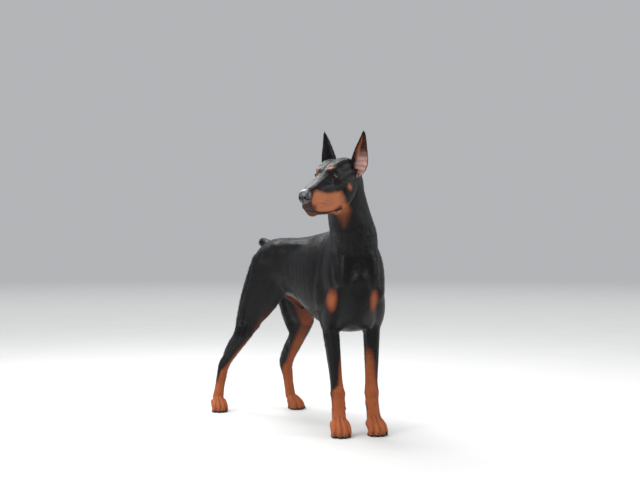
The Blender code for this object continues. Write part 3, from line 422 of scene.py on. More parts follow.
def eye_look():
    """A dark brown iris round a black pupil, by how far a place is from the eye's middle of look."""
    look = Look("dark_brown_eye")
    out, around = look.attribute("off_axis"), look.attribute("round_axis")
    place = look.node("ShaderNodeCombineXYZ", i0=around * 9.0, i1=out * 1.5)
    rays = look.node("ShaderNodeTexNoise", {"noise_dimensions": "2D"}, Vector=place, Scale=1.6, Detail=3.0)
    iris = look.mix(look.step(rays, 0.3, 0.7), colour(0.016, 0.006, 0.003), colour(0.055, 0.022, 0.009))
    rim = look.mix(look.step(out, 0.50, 0.62), iris, colour(0.008, 0.004, 0.003))
    white = look.mix(look.step(out, 0.64, 0.70), rim, colour(0.010, 0.007, 0.006))
    base = look.mix(look.step(out, 0.235, 0.265), colour(0.0012, 0.0012, 0.0014), white)
    return look.set(Base_Color=base, Roughness=0.10, Coat_Weight=1.0, Coat_Roughness=0.02)


def floor_look():
    """Pale, and see-through far away, so that the floor has no edge."""
    look = Look("pale_floor")
    grain = look.noise(look.place(), 3.0, 2.0)
    spot = look.node("ShaderNodeTexCoord", out=3)
    far = look.node("ShaderNodeVectorMath", {"operation": "LENGTH"}, 1, i0=spot)
    base = look.mix(grain, colour(0.62, 0.62, 0.61), colour(0.66, 0.66, 0.65))
    return look.set(Base_Color=base, Roughness=0.6, Alpha=1 - look.step(far, 4.0, 16.0))


# Meshes as arrays
def thing_of(name, points, faces, material=None):
    mesh = bpy.data.meshes.new(name)
    faces = np.asarray(faces)
    mesh.vertices.add(len(points))
    mesh.vertices.foreach_set("co", np.asarray(points, np.float32).ravel())
    mesh.loops.add(faces.size)
    mesh.loops.foreach_set("vertex_index", faces.ravel().astype(np.int32))
    mesh.polygons.add(len(faces))
    mesh.polygons.foreach_set("loop_start", np.arange(0, faces.size, faces.shape[1], dtype=np.int32))
    mesh.update(calc_edges=True)
    mesh.validate()
    if material:
        mesh.materials.append(material)
    return new_object(name, mesh)


def read(items, key, wide, kind=np.float32):
    """One value of each item of a mesh, as rows of numbers."""
    found = np.empty(len(items) * wide, kind)
    items.foreach_get(key, found)
    return found.reshape(-1, wide)


def points_of(mesh):
    return read(mesh.vertices, "co", 3).astype(float)


def normals_of(mesh):
    return read(mesh.vertex_normals, "vector", 3).astype(float)


def edges_of(mesh):
    return read(mesh.edges, "vertices", 2, np.int32)


def corners_of(mesh):
    mesh.calc_loop_triangles()
    return read(mesh.loop_triangles, "vertices", 3, np.int32)


def put(mesh, points):
    mesh.vertices.foreach_set("co", np.asarray(points, np.float32).ravel())
    mesh.update()


@contextmanager
def edited(mesh):
    """A mesh's faces, open for editing, and written back afterwards."""
    shape = bmesh.new()
    shape.from_mesh(mesh)
    shape.verts.ensure_lookup_table()
    yield shape
    shape.to_mesh(mesh)
    shape.free()


def apply_modifiers(thing):
    graph = bpy.context.evaluated_depsgraph_get()
    graph.update()
    made = bpy.data.meshes.new_from_object(thing.evaluated_get(graph))
    thing.modifiers.clear()
    old = thing.data
    thing.data = made
    bpy.data.meshes.remove(old)


# How far a point goes towards its neighbours' mean, and then back, so that nothing shrinks
EVEN, BACK = 0.5, -0.515


def relax(mesh, rounds, weights, keep=True):
    """Evens the points out; weights say how much each one takes part. It shrinks unless keep is set."""
    points, edges = points_of(mesh), edges_of(mesh)
    count = len(points)
    ends, others = edges.T.ravel(), edges[:, ::-1].T.ravel()
    degree = np.maximum(np.bincount(ends, minlength=count), 1)[:, None]
    weights = np.asarray(weights)[:, None]
    for factor in ((EVEN, BACK) if keep else (EVEN,)) * rounds:
        mean = np.stack([np.bincount(ends, points[others, k], count) for k in range(3)], 1)
        points = points + weights * factor * (mean / degree - points)
    put(mesh, points)


def largest_only(mesh):
    """Leaves the largest connected surface."""
    edges, label = edges_of(mesh), np.arange(len(mesh.vertices))
    before = None
    while before is None or (label != before).any():
        low = np.minimum(label[edges[:, 0]], label[edges[:, 1]])
        before = label.copy()
        np.minimum.at(label, edges[:, 0], low)
        np.minimum.at(label, edges[:, 1], low)
        label = label[label]
    loose = np.nonzero(label != np.bincount(label).argmax())[0]
    if len(loose):
        with edited(mesh) as cut:
            bmesh.ops.delete(cut, geom=[cut.verts[k] for k in loose], context="VERTS")


# The skin
LEG_FLESH = ("foreleg_", "front_paw_", "thigh_", "lower_leg_", "hind_paw_")
FLESH = ["head", "lower_jaw", "neck", "torso", "tail"]
FLESH += [kind + side for side in SIDES for kind in LEG_FLESH]

# How far the skin's ball behind each eye reaches past the eye
EYE_SOCKET = 0.0023


def joined_flesh():
    """The solids' flesh, set a little proud so that their thin cuts close."""
    points, faces, count = [], [], 0
    for name in FLESH + ["nose"]:
        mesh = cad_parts[name].data
        corners = corners_of(mesh)
        places = points_of(mesh)
        points.append(places + normals_of(mesh) * CLOSE_CUTS)
        faces.append(corners + count)
        count += len(places)
    for s in (1, -1):
        ball = bmesh.new()
        middle = Matrix.Translation(in_head(EYE_AT.x * s, EYE_AT.y, EYE_AT.z))
        bmesh.ops.create_icosphere(ball, subdivisions=4, radius=EYE_RADIUS + EYE_SOCKET, matrix=middle)
        points.append(np.array([v.co for v in ball.verts]))
        faces.append(np.array([[v.index for v in f.verts] for f in ball.faces]) + count)
        count += len(ball.verts)
        ball.free()
    return thing_of("skin", np.vstack(points), np.vstack(faces))


def region_weights(points):
    """How much a place belongs to the head, the legs and the paws, from 0 to 1."""
    own = to_head(points)
    head = ramp(-own[:, 1], -0.140, -0.090) * ramp(own[:, 2], -0.160, -0.110) * ramp(points[:, 2], 0.66, 0.72)
    legs = 1 - ramp(points[:, 2], 0.30, 0.42)
    paws = 1 - ramp(points[:, 2], 0.045, 0.075)
    return head, legs, paws


def refine(mesh, chosen):
    """Cuts the faces that hold the chosen points into four."""
    with edited(mesh) as cut:
        edges = [e for e in cut.edges if chosen[e.verts[0].index] and chosen[e.verts[1].index]]
        bmesh.ops.subdivide_edges(cut, edges=edges, cuts=1, use_grid_fill=True)


def almond_axes(s):
    """The eye's middle, its look, and the long and high ways of the opening, in the head."""
    look = Matrix.Rotation(math.radians(EYE_OUT * s), 3, "Z") @ Vector((0, -1, 0))
    side = UPWARD.cross(look).normalized() * -s
    tilt = math.radians(EYE_TILT)
    along = side * math.cos(tilt) + UPWARD * math.sin(tilt)
    return Vector((EYE_AT.x * s, EYE_AT.y, EYE_AT.z)), look, along, along.cross(look) * s


class Sculpt:
    """Raises and sinks the skin along lines that are laid on it, by heights and widths in mm."""

    def __init__(self, mesh):
        self.mesh = mesh
        self.points = points_of(mesh)
        self.normals = normals_of(mesh)
        self.tree = BVHTree.FromPolygons(self.points.tolist(), corners_of(mesh).tolist())
        self.move = np.zeros(len(self.points))

    def laid(self, line):
        """A line's places on the skin, a few millimetres apart."""
        found = []
        for a, b in zip(line, line[1:]):
            steps = max(2, int((b - a).length / 0.008))
            for k in range(steps + 1):
                near = self.tree.find_nearest(a.lerp(b, k / steps))[0]
                if not found or (near - found[-1]).length > 0.0012:
                    found.append(near)
        return np.array(found)

    def stroke(self, line, height, width, ends=True):
        """A ridge, or a groove where height is below 0, fading out at its ends."""
        height, width = height * MM, width * MM
        spots = self.laid(line)
        if len(spots) < 2:
            spots = np.vstack([spots, spots])
        low, high = spots.min(0) - 3 * width, spots.max(0) + 3 * width
        near = np.nonzero(((self.points > low) & (self.points < high)).all(1))[0]
        p = self.points[near]
        best, size = np.full(len(near), FAR), np.ones(len(near))
        for k, (a, b) in enumerate(zip(spots, spots[1:])):
            way = b - a
            t = np.clip(((p - a) @ way) / max(way @ way, 1e-12), 0, 1)
            gap = ((p - a - t[:, None] * way) ** 2).sum(1)
            share = (k + t) / (len(spots) - 1)
            fade = np.minimum(1, 5 * np.minimum(share, 1 - share) + 0.15) if ends else 1.0
            size = np.where(gap < best, fade, size)
            best = np.minimum(best, gap)
        self.move[near] += height * size * np.exp(-best / width ** 2)

    def spot(self, place, height, width):
        """A round swelling, or a dent where height is below 0."""
        height, width = height * MM, width * MM
        near = np.array(self.tree.find_nearest(place)[0])
        gap = ((self.points - near) ** 2).sum(1)
        self.move += height * np.exp(-gap / width ** 2)

    def draw(self, rows, place, ends=True):
        """Lays the rows of a table: height, width and places, or one place for a spot."""
        for height, width, *line in rows:
            line = [place(*spot) for spot in line]
            if len(line) > 1:
                self.stroke(line, height, width, ends)
            else:
                self.spot(line[0], height, width)

    def done(self):
        put(self.mesh, self.points + self.normals * self.move[:, None])


# Relief on each side of the trunk: height and width in mm, then places along it, across and up
SHOULDER = (
    # Shoulder blade, its spine and edges, and the point of the shoulder
    (1.6, 12, (0.050, 0.034, 0.682), (-0.020, 0.072, 0.590), (-0.062, 0.082, 0.520)),
    (-0.9, 18, (0.004, 0.030, 0.690), (-0.055, 0.062, 0.600), (-0.092, 0.066, 0.530)),
    (-2.6, 15, (0.098, 0.050, 0.672), (0.070, 0.095, 0.590), (0.078, 0.112, 0.500), (0.066, 0.100, 0.410)),
    (-1.2, 12, (0.030, 0.080, 0.610), (0.000, 0.100, 0.540), (-0.012, 0.105, 0.480)),
    (-1.5, 12, (-0.058, 0.088, 0.512), (-0.010, 0.105, 0.455), (0.012, 0.100, 0.405)),
    (2.0, 14, (0.020, 0.104, 0.520), (0.030, 0.108, 0.430)),
    (1.4, 20, (-0.080, 0.082, 0.500)),
    # Fold between the chest and the upper arm, and the chest muscles beside the breastbone
    (-2.2, 11, (-0.112, 0.058, 0.500), (-0.080, 0.062, 0.430), (-0.040, 0.060, 0.370)),
    (1.4, 15, (-0.125, 0.024, 0.510), (-0.095, 0.028, 0.440), (-0.060, 0.026, 0.385)),
)

# Groove of the neck and the muscle above it, each from a place in the head
NECK = (
    (-1.8, 13, (0.036, 0.062, -0.100), (-0.085, 0.050, 0.700), (-0.098, 0.046, 0.640)),
    (1.8, 13, (0.052, 0.098, -0.070), (-0.045, 0.078, 0.720), (-0.070, 0.080, 0.620)),
    (-1.6, 9, (0.050, 0.120, -0.040), (0.000, 0.066, 0.740), (-0.012, 0.060, 0.680)),
)
RIBS = 6
FLANK = (
    # Edge of the rib cage, the hollow of the flank and the muscles of the loin
    (-3.2, 14, (0.285, 0.085, 0.620), (0.270, 0.100, 0.540), (0.215, 0.085, 0.440), (0.150, 0.05, 0.385)),
    (-4.2, 30, (0.330, 0.085, 0.575)),
    (1.6, 12, (0.130, 0.036, 0.680), (0.300, 0.040, 0.664), (0.390, 0.040, 0.660)),
    (-1.8, 10, (0.140, 0.066, 0.655), (0.300, 0.066, 0.640)),
    # Hip bone and sitting bone
    (3.4, 16, (0.392, 0.066, 0.642)),
    (3.0, 15, (0.530, 0.048, 0.598)),
)

# Furrows between the chest muscles and along the loin
MIDDLE = (
    (-1.3, 15, (-0.150, 0, 0.530), (-0.130, 0, 0.450), (-0.080, 0, 0.370)),
    (-1.4, 7, (0.150, 0, 0.690), (0.300, 0, 0.680), (0.460, 0, 0.670)),
)


def sculpt_body(mesh):
    clay = Sculpt(mesh)
    for side, s in SIDES.items():
        def on_side(y, across, z):
            return trunk(y, across * s, z)

        clay.draw(SHOULDER, on_side)
        for height, width, (x, y, z), *line in NECK:
            clay.stroke([in_head(x * s, y, z)] + [on_side(*spot) for spot in line], height, width)
        for k in range(RIBS):
            clay.stroke([on_side(0.128 + 0.027 * k, 0.104, 0.625 - 0.004 * k),
                         on_side(0.108 + 0.027 * k, 0.118, 0.530),
                         on_side(0.092 + 0.029 * k, 0.100, 0.430)], -(0.22 + 0.10 * k), 7.5)
        clay.draw(FLANK, on_side)
        sculpt_hind_leg(clay, side, on_side)
        sculpt_foreleg(clay, side)
    clay.draw(MIDDLE, trunk)
    clay.stroke([in_head(0, 0.062, -0.112), trunk(-0.120, 0, 0.690), trunk(-0.130, 0, 0.620)], 0.9, 16)
    clay.done()


def sculpt_hind_leg(clay, side, on_side):
    """Muscles of the thigh, the heel's cord, a vein and the tendons of the foot."""
    hip, knee, hock, fetlock = hind_joints(side)
    out = spine(0.47)[1] * SIDES[side]
    behind = -heading(HAUNCH_TURN)
    clay.stroke([on_side(0.430, 0.070, 0.640), hip + out * 0.06 + UPWARD * 0.01,
                 hip.lerp(knee, 0.55) + out * 0.05, knee + out * 0.04], -2.4, 9)
    clay.stroke([on_side(0.505, 0.060, 0.600), hip + behind * 0.045 + out * 0.05 - UPWARD * 0.05,
                 knee + behind * 0.055 + out * 0.03,
                 knee.lerp(hock, 0.30) + behind * 0.045 + out * 0.02], -3.2, 8)
    clay.stroke([hip + out * 0.06 + behind * 0.02 - UPWARD * 0.02,
                 knee + behind * 0.03 + out * 0.04 + UPWARD * 0.02], 2.4, 15)
    clay.spot(knee - behind * 0.034, 2.2, 13)
    for face in (out, -out):
        clay.stroke([knee.lerp(hock, 0.42) + behind * 0.026 + face * 0.02,
                     knee.lerp(hock, 0.80) + behind * 0.014 + face * 0.02,
                     hock + behind * 0.012 + face * 0.02 + UPWARD * 0.012], -3.4, 7)
    clay.stroke([knee.lerp(hock, 0.12) + out * 0.035, knee.lerp(hock, 0.60) + out * 0.026], -1.8, 6)
    clay.stroke([knee.lerp(hock, 0.35) + out * 0.03, knee.lerp(hock, 0.62) + behind * 0.006 + out * 0.03,
                 knee.lerp(hock, 0.95) + behind * 0.01 + out * 0.03], 0.9, 2.8)
    for face in (out, -out):
        clay.stroke([hock + face * 0.02 - behind * 0.004, fetlock + face * 0.02], -1.3, 4.5)
    for k in (-1, 1):
        clay.stroke([hock.lerp(fetlock, 0.2) - behind * 0.02 + out * 0.004 * k,
                     fetlock - behind * 0.03 + out * 0.006 * k], 0.8, 2.8)


def sculpt_foreleg(clay, side):
    """Muscles of the forearm, a vein, the wrist's bones and the tendons of the pastern."""
    elbow, wrist, low = foreleg_joints(side)
    fore, inward = leg_ways("front_", side)
    wide = -inward
    clay.stroke([elbow + wide * 0.03 + fore * 0.008, wrist.lerp(elbow, 0.45) + wide * 0.03 + fore * 0.004,
                 wrist + wide * 0.03 + UPWARD * 0.03], -2.2, 5.5)
    clay.stroke([elbow + fore * 0.04 + wide * 0.012, wrist + fore * 0.03 + wide * 0.006], 1.0, 4.0)
    clay.stroke([elbow - wide * 0.03 + fore * 0.01, wrist - wide * 0.03 + fore * 0.004], -1.6, 5)
    clay.stroke([elbow - wide * 0.03 + fore * 0.022 - UPWARD * 0.04,
                 elbow.lerp(wrist, 0.5) - wide * 0.02 + fore * 0.02,
                 wrist - wide * 0.004 + fore * 0.03 + UPWARD * 0.04], 0.9, 2.6)
    clay.spot(wrist + wide * 0.024, 1.8, 9)
    clay.spot(wrist - wide * 0.024, 1.6, 9)
    for face in (wide, -wide):
        clay.stroke([wrist + face * 0.02 - fore * 0.012, low + face * 0.02 - fore * 0.012], -1.6, 4.5)
    for k in (-1, 1):
        clay.stroke([wrist.lerp(low, 0.2) + fore * 0.02 + wide * 0.005 * k,
                     low + fore * 0.03 + wide * 0.007 * k], 0.8, 2.8)


# The toes of a paw, across and ahead of its place, and the size of a hind paw beside a front one
TOES = ((-0.0245, 0.024), (-0.0092, 0.037), (0.0092, 0.037), (0.0245, 0.024))
HIND_PAW_SIZE = 0.90


def sculpt_paws(mesh):
    """Clefts between the toes, their knuckles, and the small dents over the claws."""
    clay = Sculpt(mesh)
    for name, (px, py, turn) in PAWS.items():
        size = 1.0 if name.startswith("front") else HIND_PAW_SIZE
        place = Matrix.Translation(Vector((px, py, 0)) + SHIFT) @ Matrix.Rotation(math.radians(turn), 4, "Z")

        def at(x, ahead, z):
            return place @ (Vector((x, -ahead, z)) * size)

        for (ax, aa), (bx, ba) in zip(TOES, TOES[1:]):
            mid, reach = (ax + bx) / 2, (aa + ba) / 2
            clay.stroke([at(mid * 0.72, reach - 0.040, 0.064), at(mid * 0.9, reach - 0.018, 0.052),
                         at(mid, reach - 0.004, 0.034), at(mid, reach + 0.004, 0.016),
                         at(mid, reach - 0.002, 0.004)], -3.6, 2.6)
        for x, ahead in TOES:
            clay.stroke([at(x * 0.7, ahead - 0.034, 0.062), at(x * 0.92, ahead - 0.012, 0.050)], 1.3, 4.2)
            clay.spot(at(x, ahead + 0.001, 0.028), 1.2, 4.6)
            clay.spot(at(x * 0.9, ahead - 0.010, 0.042), -0.6, 3.6)
        for s in (1, -1):
            clay.stroke([at(0.034 * s, 0.000, 0.030), at(0.036 * s, 0.012, 0.014)], -1.6, 3.6)
    clay.done()


# Relief on each side of the face: height and width in mm, then places across, along and up
FACE = (
    # Corner of the mouth and the edge of the lip at it
    (1.3, 4.0, (0.05, -0.020, -0.080), (0.05, -0.002, -0.090), (0.05, 0.004, -0.104)),
    (-1.2, 3.0, (0.05, -0.012, -0.074), (0.05, 0.006, -0.086)),
    (1.5, 2.6, (0.05, -0.032, -0.086), (0.05, -0.012, -0.084), (0.05, 0.000, -0.092)),
    # Bridge, stop and brow
    (1.4, 5.0, (0.015, -0.110, 0.000), (0.018, -0.060, 0.008), (0.021, -0.026, 0.018)),
    (-1.9, 7.0, (0.040, -0.100, -0.020), (0.040, -0.055, -0.022), (0.045, -0.020, -0.016)),
    (1.9, 5.5, (0.010, -0.012, 0.036), (0.026, -0.008, 0.034), (0.040, 0.010, 0.031)),
    (-1.3, 3.2, (0.024, -0.018, 0.012), (0.030, -0.012, 0.023), (0.042, 0.004, 0.026)),
    # Cheek bone, hollow of the temple, groove before the cheek, cheek, veins, lip and the ear's root
    (1.9, 6.5, (0.05, -0.012, -0.012), (0.06, 0.030, -0.012), (0.06, 0.076, -0.006)),
    (-1.8, 9.0, (0.05, 0.030, 0.012), (0.05, 0.066, 0.012)),
    (-2.0, 5.5, (0.05, 0.006, -0.034), (0.06, 0.012, -0.060), (0.06, 0.026, -0.088)),
    (1.9, 13.0, (0.06, 0.038, -0.034), (0.06, 0.058, -0.062)),
    (0.9, 2.6, (0.05, -0.030, -0.030), (0.05, -0.060, -0.040), (0.05, -0.090, -0.044)),
    (0.8, 2.2, (0.05, -0.014, -0.018), (0.05, -0.036, -0.034), (0.05, -0.048, -0.056)),
    (1.3, 8.0, (0.034, -0.118, -0.036), (0.040, -0.096, -0.052), (0.040, -0.066, -0.064)),
    (3.4, 10.0, (0.030, 0.074, 0.046), (0.042, 0.092, 0.040)),
    # Under the eye
    (-1.2, 2.6, (0.030, -0.020, 0.004), (0.040, -0.012, -0.004), (0.055, 0.006, -0.004)),
)

# Furrows of the forehead and the bridge, and the split and edge of the upper lip under the nose
FACE_MIDDLE = (
    (-2.4, 5.5, (0, -0.020, 0.026), (0, 0.016, 0.050), (0, 0.060, 0.052)),
    (-0.9, 4.0, (0, -0.110, 0.010), (0, -0.050, 0.020)),
)
LIP_MIDDLE = (
    (-1.8, 1.6, (0, -0.143, -0.038), (0, -0.143, -0.052)),
    (-1.6, 1.8, (0.014, -0.140, -0.050), (0, -0.146, -0.048), (-0.014, -0.140, -0.050)),
)
LIP = 0.006
WHISKER_ROWS, WHISKERS_IN_ROW = 4, 6


def sculpt_head(mesh):
    clay = Sculpt(mesh)
    for s in (1, -1):
        def at(x, y, z):
            return in_head(x * s, y, z)

        # Line of the mouth and the lips above and below it
        clay.stroke([at(0.022 if y < -0.12 else 0.05, y, z) for y, z in MOUTH[1:]], -2.3, 1.9)
        clay.stroke([at(0.05, y, z + LIP) for y, z in MOUTH[1:5]], 1.1, 4.0)
        clay.stroke([at(0.05, y, z - LIP) for y, z in MOUTH[1:6]], 0.9, 3.6)
        clay.draw(FACE, at)
        for row in range(WHISKER_ROWS):
            for k in range(WHISKERS_IN_ROW):
                clay.spot(at(0.05, -0.112 + 0.011 * k, -0.034 - 0.0085 * row - 0.0022 * k), 0.55, 1.5)
    clay.draw(FACE_MIDDLE, in_head)
    clay.draw(LIP_MIDDLE, in_head, ends=False)
    clay.done()


def open_eyes(mesh):
    """Sinks the skin inside each almond opening behind the eye, and raises the rims of the lids."""
    points = points_of(mesh)
    own = to_head(points)
    moved = own.copy()
    for s in (1, -1):
        middle, look, along, up = almond_axes(s)
        away = own - np.array(middle)
        deep = away @ np.array(look)
        across, high = away @ np.array(along), away @ np.array(up)
        near = (deep > 0) & (np.hypot(across, high) < 0.024)
        u = np.clip(np.abs(across) / EYE_LONG, 0, 1)
        limit = EYE_HIGH * (1 - u ** 2) ** 0.72
        inside = np.where(np.abs(across) < EYE_LONG, limit - np.abs(high), -np.hypot(
            np.maximum(np.abs(across) - EYE_LONG, 0), high))
        radius = np.linalg.norm(away, axis=1)
        # Rim: a thin roll that follows the eye's ball
        roll = np.exp(-((inside + 0.0012) / 0.0011) ** 2) * near
        crease = np.exp(-((inside + 0.0052) / 0.0013) ** 2) * near * np.where(high > 0, 1.0, 0.55)
        goal = EYE_RADIUS + 0.0013 + 0.0003 * roll
        pull = ramp(inside, -0.0060, -0.0006) * near
        size = radius * (1 - pull) + np.minimum(radius, goal + 0.0006) * pull
        size = size + roll * 0.0006 - crease * 0.0011
        size = np.where(near & (inside > 0.0001), EYE_RADIUS - 0.0030, size)
        scale = np.where(near, size / np.maximum(radius, 1e-9), 1.0)
        moved = np.where(near[:, None], np.array(middle) + away * scale[:, None], moved)
    put(mesh, moved @ np.array(HEAD.to_3x3()).T + np.array(HEAD.translation))


def eased(rows, steps):
    """Rows on a smooth curve through the given rows, this many steps to each."""
    rows = np.array(rows, float)
    rows = np.vstack([2 * rows[0] - rows[1], rows, 2 * rows[-1] - rows[-2]])
    found = []
    for a, b, c, d in zip(rows, rows[1:], rows[2:], rows[3:]):
        for t in np.arange(steps) / steps:
            cubic = (3 * b - 3 * c + d - a) * t + 2 * a - 5 * b + 4 * c - d
            found.append(b + 0.5 * t * (c - a + t * cubic))
    found.append(rows[-2])
    return found


def tube_faces(rows, count):
    """Faces between rings of count points."""
    faces = []
    for r in range(rows - 1):
        for k in range(count):
            after = (k + 1) % count
            faces.append((r * count + k, r * count + after, (r + 1) * count + after, (r + 1) * count + k))
    return faces


# Levels between the rows of an ear, as it is made and as places are measured against it, and the
# points round each face of its shell
EAR_STEPS, EAR_MEASURES, EAR_POINTS = 9, 6, 34


def ear_rows(s, steps):
    """Each level of an ear: its back, its way up, its way of opening, radius, half angle and thickness."""
    facing = Vector(EAR_FACING[s]).normalized()
    rows = eased([(x * s, *rest) for x, *rest in EAR], steps)
    backs = [Vector(row[:3]) for row in rows]
    found = []
    for k, row in enumerate(rows):
        way = (backs[min(k + 1, len(rows) - 1)] - backs[max(k - 1, 0)]).normalized()
        ahead = (facing - way * way.dot(facing)).normalized()
        found.append((backs[k], way, ahead, ahead.cross(way) * s, row[3], math.radians(row[4]), row[5]))
    return found


def ear_thing(s):
    """A thin cup with a rolled edge, and folds at its root."""
    count, rings, levels = EAR_POINTS, [], ear_rows(s, EAR_STEPS)
    for k, (back, way, ahead, side, radius, half, thick) in enumerate(levels):
        centre = back + ahead * radius
        share = k / (len(levels) - 1)
        inner_r = max(radius - thick * (0.62 - 0.10 * share), radius * 0.2)
        points = []
        for turn in np.linspace(-half, half, count):
            points.append(centre + (side * math.sin(turn) - ahead * math.cos(turn)) * (radius - 0.0004))
        for turn in np.linspace(half * 0.955, -half * 0.955, count):
            fold = 0.0016 * math.exp(-((share - 0.20) / 0.12) ** 2) * math.cos(turn * 4.0)
            fold += 0.0008 * math.cos(turn * 7 + share * 9) * (1 - share) ** 2
            points.append(centre + (side * math.sin(turn) - ahead * math.cos(turn)) * (inner_r - fold))
        rings.append([HEAD @ point for point in points])
    ring_size = len(rings[0])
    shape = bmesh.new()
    verts = [[shape.verts.new(p) for p in ring] for ring in rings]
    for low, high in zip(verts, verts[1:]):
        for k in range(ring_size):
            after = (k + 1) % ring_size
            shape.faces.new((low[k], low[after], high[after], high[k]))
    for end in (verts[0], verts[-1]):
        for k in range(count - 1):
            shape.faces.new((end[k], end[k + 1], end[ring_size - 2 - k], end[ring_size - 1 - k]))
    bmesh.ops.recalc_face_normals(shape, faces=shape.faces)
    bmesh.ops.triangulate(shape, faces=shape.faces)
    mesh = bpy.data.meshes.new("ear")
    shape.to_mesh(mesh)
    shape.free()
    return new_object("ear", mesh)


def clear_cups(mesh):
    """Sinks the flesh that would fill the cup of an ear."""
    own = to_head(points_of(mesh))
    for s in (1, -1):
        back, way, ahead, side, radius, half, thick = ear_rows(s, EAR_MEASURES)[8]
        centre, up = np.array(back + ahead * radius), np.array(way)
        away = own - centre
        along = away @ up
        r = np.linalg.norm(away - along[:, None] * up, axis=1)
        inside = (1 - ramp(r, radius * 0.72, radius * 1.15)) * (along > -0.012) * (along < 0.05)
        own = own - (inside * np.maximum(along + 0.012, 0) * 0.85)[:, None] * up
    put(mesh, own @ np.array(TURNED).T + np.array(HEAD.translation))


def join_ears(skin):
    for s in (1, -1):
        ear = ear_thing(s)
        both = skin.modifiers.new("With the ear", "BOOLEAN")
        both.operation = "UNION"
        both.solver = "MANIFOLD"
        both.object = ear
        apply_modifiers(skin)
        bpy.data.objects.remove(ear)


def ear_nearness(points):
    """For each place: how far it is from an ear's shell, whether it is on the inner side, how high up
    the ear, and how far round it towards the front edge, from -1 to 1."""
    whole = to_head(points)
    near = np.nonzero((whole[:, 1] > 0.05) & (whole[:, 2] > -0.06) & (np.abs(whole[:, 0]) < 0.14))[0]
    own = whole[near]
    found, measured = np.zeros((4, len(near))), np.zeros((4, len(points)))
    found[0] = measured[0] = FAR
    for s in (1, -1):
        levels = ear_rows(s, EAR_MEASURES)
        for k, (back, way, ahead, side, radius, half, thick) in enumerate(levels):
            away = own - np.array(back + ahead * radius)
            along = away @ np.array(way)
            flat = away - along[:, None] * np.array(way)
            r = np.linalg.norm(flat, axis=1)
            across = flat @ np.array(side)
            angle = np.arctan2(np.abs(across), -(flat @ np.array(ahead)))
            past = np.maximum(angle - half, 0) * radius
            off = np.minimum(np.abs(r - radius), np.abs(r - radius + thick))
            off = np.sqrt(off ** 2 + past ** 2 + along ** 2)
            inner = (r < radius - thick * 0.30) * 1.0
            share = np.full(len(near), k / (len(levels) - 1))
            found = np.where(off < found[0], (off, inner, share, np.sign(across) * angle / half), found)
    measured[:, near] = found
    return measured


def eye_or_mouth(mesh, head):
    """The points round the eyes and along the mouth, which are made finer."""
    own = to_head(points_of(mesh))
    off = np.abs(np.stack([np.abs(own[:, 0]), own[:, 1], own[:, 2]], 1) - np.array(EYE_AT))
    eye = (off < (0.028, 0.032, 0.026)).all(1)
    mouth = (own[:, 1] < 0.012) & (own[:, 2] < -0.040)
    return (head > 0.5) & (eye | mouth)


def make_skin():
    """One skin over the flesh: fused, smoothed, sculpted, and finer on the head and paws."""
    skin = joined_flesh()
    fuse = skin.modifiers.new("Fuse", "REMESH")
    fuse.mode = "VOXEL"
    fuse.voxel_size = VOXEL
    apply_modifiers(skin)
    mesh = skin.data
    largest_only(mesh)
    head, legs, paws = region_weights(points_of(mesh))
    bulk = np.clip(1 - np.maximum(head, np.maximum(legs, paws)), 0, 1)
    relax(mesh, 90, 0.25 + 0.75 * bulk - 0.22 * paws * (bulk < 0.5))
    relax(mesh, 16, bulk * 0.8, keep=False)
    sculpt_body(mesh)
    relax(mesh, 7, 0.35 + 0.35 * bulk)
    head, legs, paws = region_weights(points_of(mesh))
    refine(mesh, (head > 0.05) | (paws > 0.5))
    head, legs, paws = region_weights(points_of(mesh))
    relax(mesh, 6, np.maximum(head, paws * 0.6))
    refine(mesh, eye_or_mouth(mesh, head))
    head, legs, paws = region_weights(points_of(mesh))
    relax(mesh, 3, head * 0.7)
    # The skin lies under the solids' faces by the depth of the coat, except at the soles
    points = points_of(mesh)
    depth = COAT_DEPTH + (FACE_DEPTH - COAT_DEPTH) * np.maximum(head, paws)
    depth = depth * ramp(points[:, 2], 0.001, 0.006)
    put(mesh, points - normals_of(mesh) * depth[:, None])
    sculpt_head(mesh)
    sculpt_paws(mesh)
    relax(mesh, 1, head * 0.5)
    open_eyes(mesh)
    clear_cups(mesh)
    join_ears(skin)
    gap, inner, share, lean = ear_nearness(points_of(skin.data))
    root = np.exp(-(gap / 0.006) ** 2) * (1 - ramp(share, 0.10, 0.24))
    relax(skin.data, 10, root * 0.9, keep=False)
    points = points_of(skin.data)
    points[points[:, 2] < SOLE_HEIGHT, 2] = 0
    put(skin.data, points)
    skin.data.shade_smooth()
    return skin


# Markings
def line_gap(points, line):
    """How far places are from a line of places, and how far along the line they are, 0 to 1."""
    line = np.array([np.array(p) for p in line])
    best, share = np.full(len(points), FAR), np.zeros(len(points))
    for k, (a, b) in enumerate(zip(line, line[1:])):
        way = b - a
        t = np.clip(((points - a) @ way) / (way @ way), 0, 1)
        gap = np.linalg.norm(points - a - t[:, None] * way, axis=1)
        share = np.where(gap < best, (k + t) / (len(line) - 1), share)
        best = np.minimum(best, gap)
    return best, share


def patch(points, middle, radii, turned=None):
    """Above 0 inside a rounded patch, in metres."""
    away = points - np.array(middle)
    if turned is not None:
        away = away @ np.array(turned)
    size = np.linalg.norm(away / np.array(radii), axis=1)
    return (1 - size) * min(radii)


def round_leg(points, joints, rusty):
    """The way round a leg, 1 towards the rust side and -1 away from it, and how far the leg is."""
    line = np.array([np.array(p) for p in joints])
    best, way_round = np.full(len(points), FAR), np.zeros(len(points))
    for a, b in zip(line, line[1:]):
        way = b - a
        t = np.clip(((points - a) @ way) / (way @ way), 0, 1)
        off = points - a - t[:, None] * way
        gap = np.linalg.norm(off, axis=1)
        turn = (off @ np.array(rusty.normalized())) / np.maximum(gap, 1e-6)
        way_round = np.where(gap < best, turn, way_round)
        best = np.minimum(best, gap)
    return way_round, best


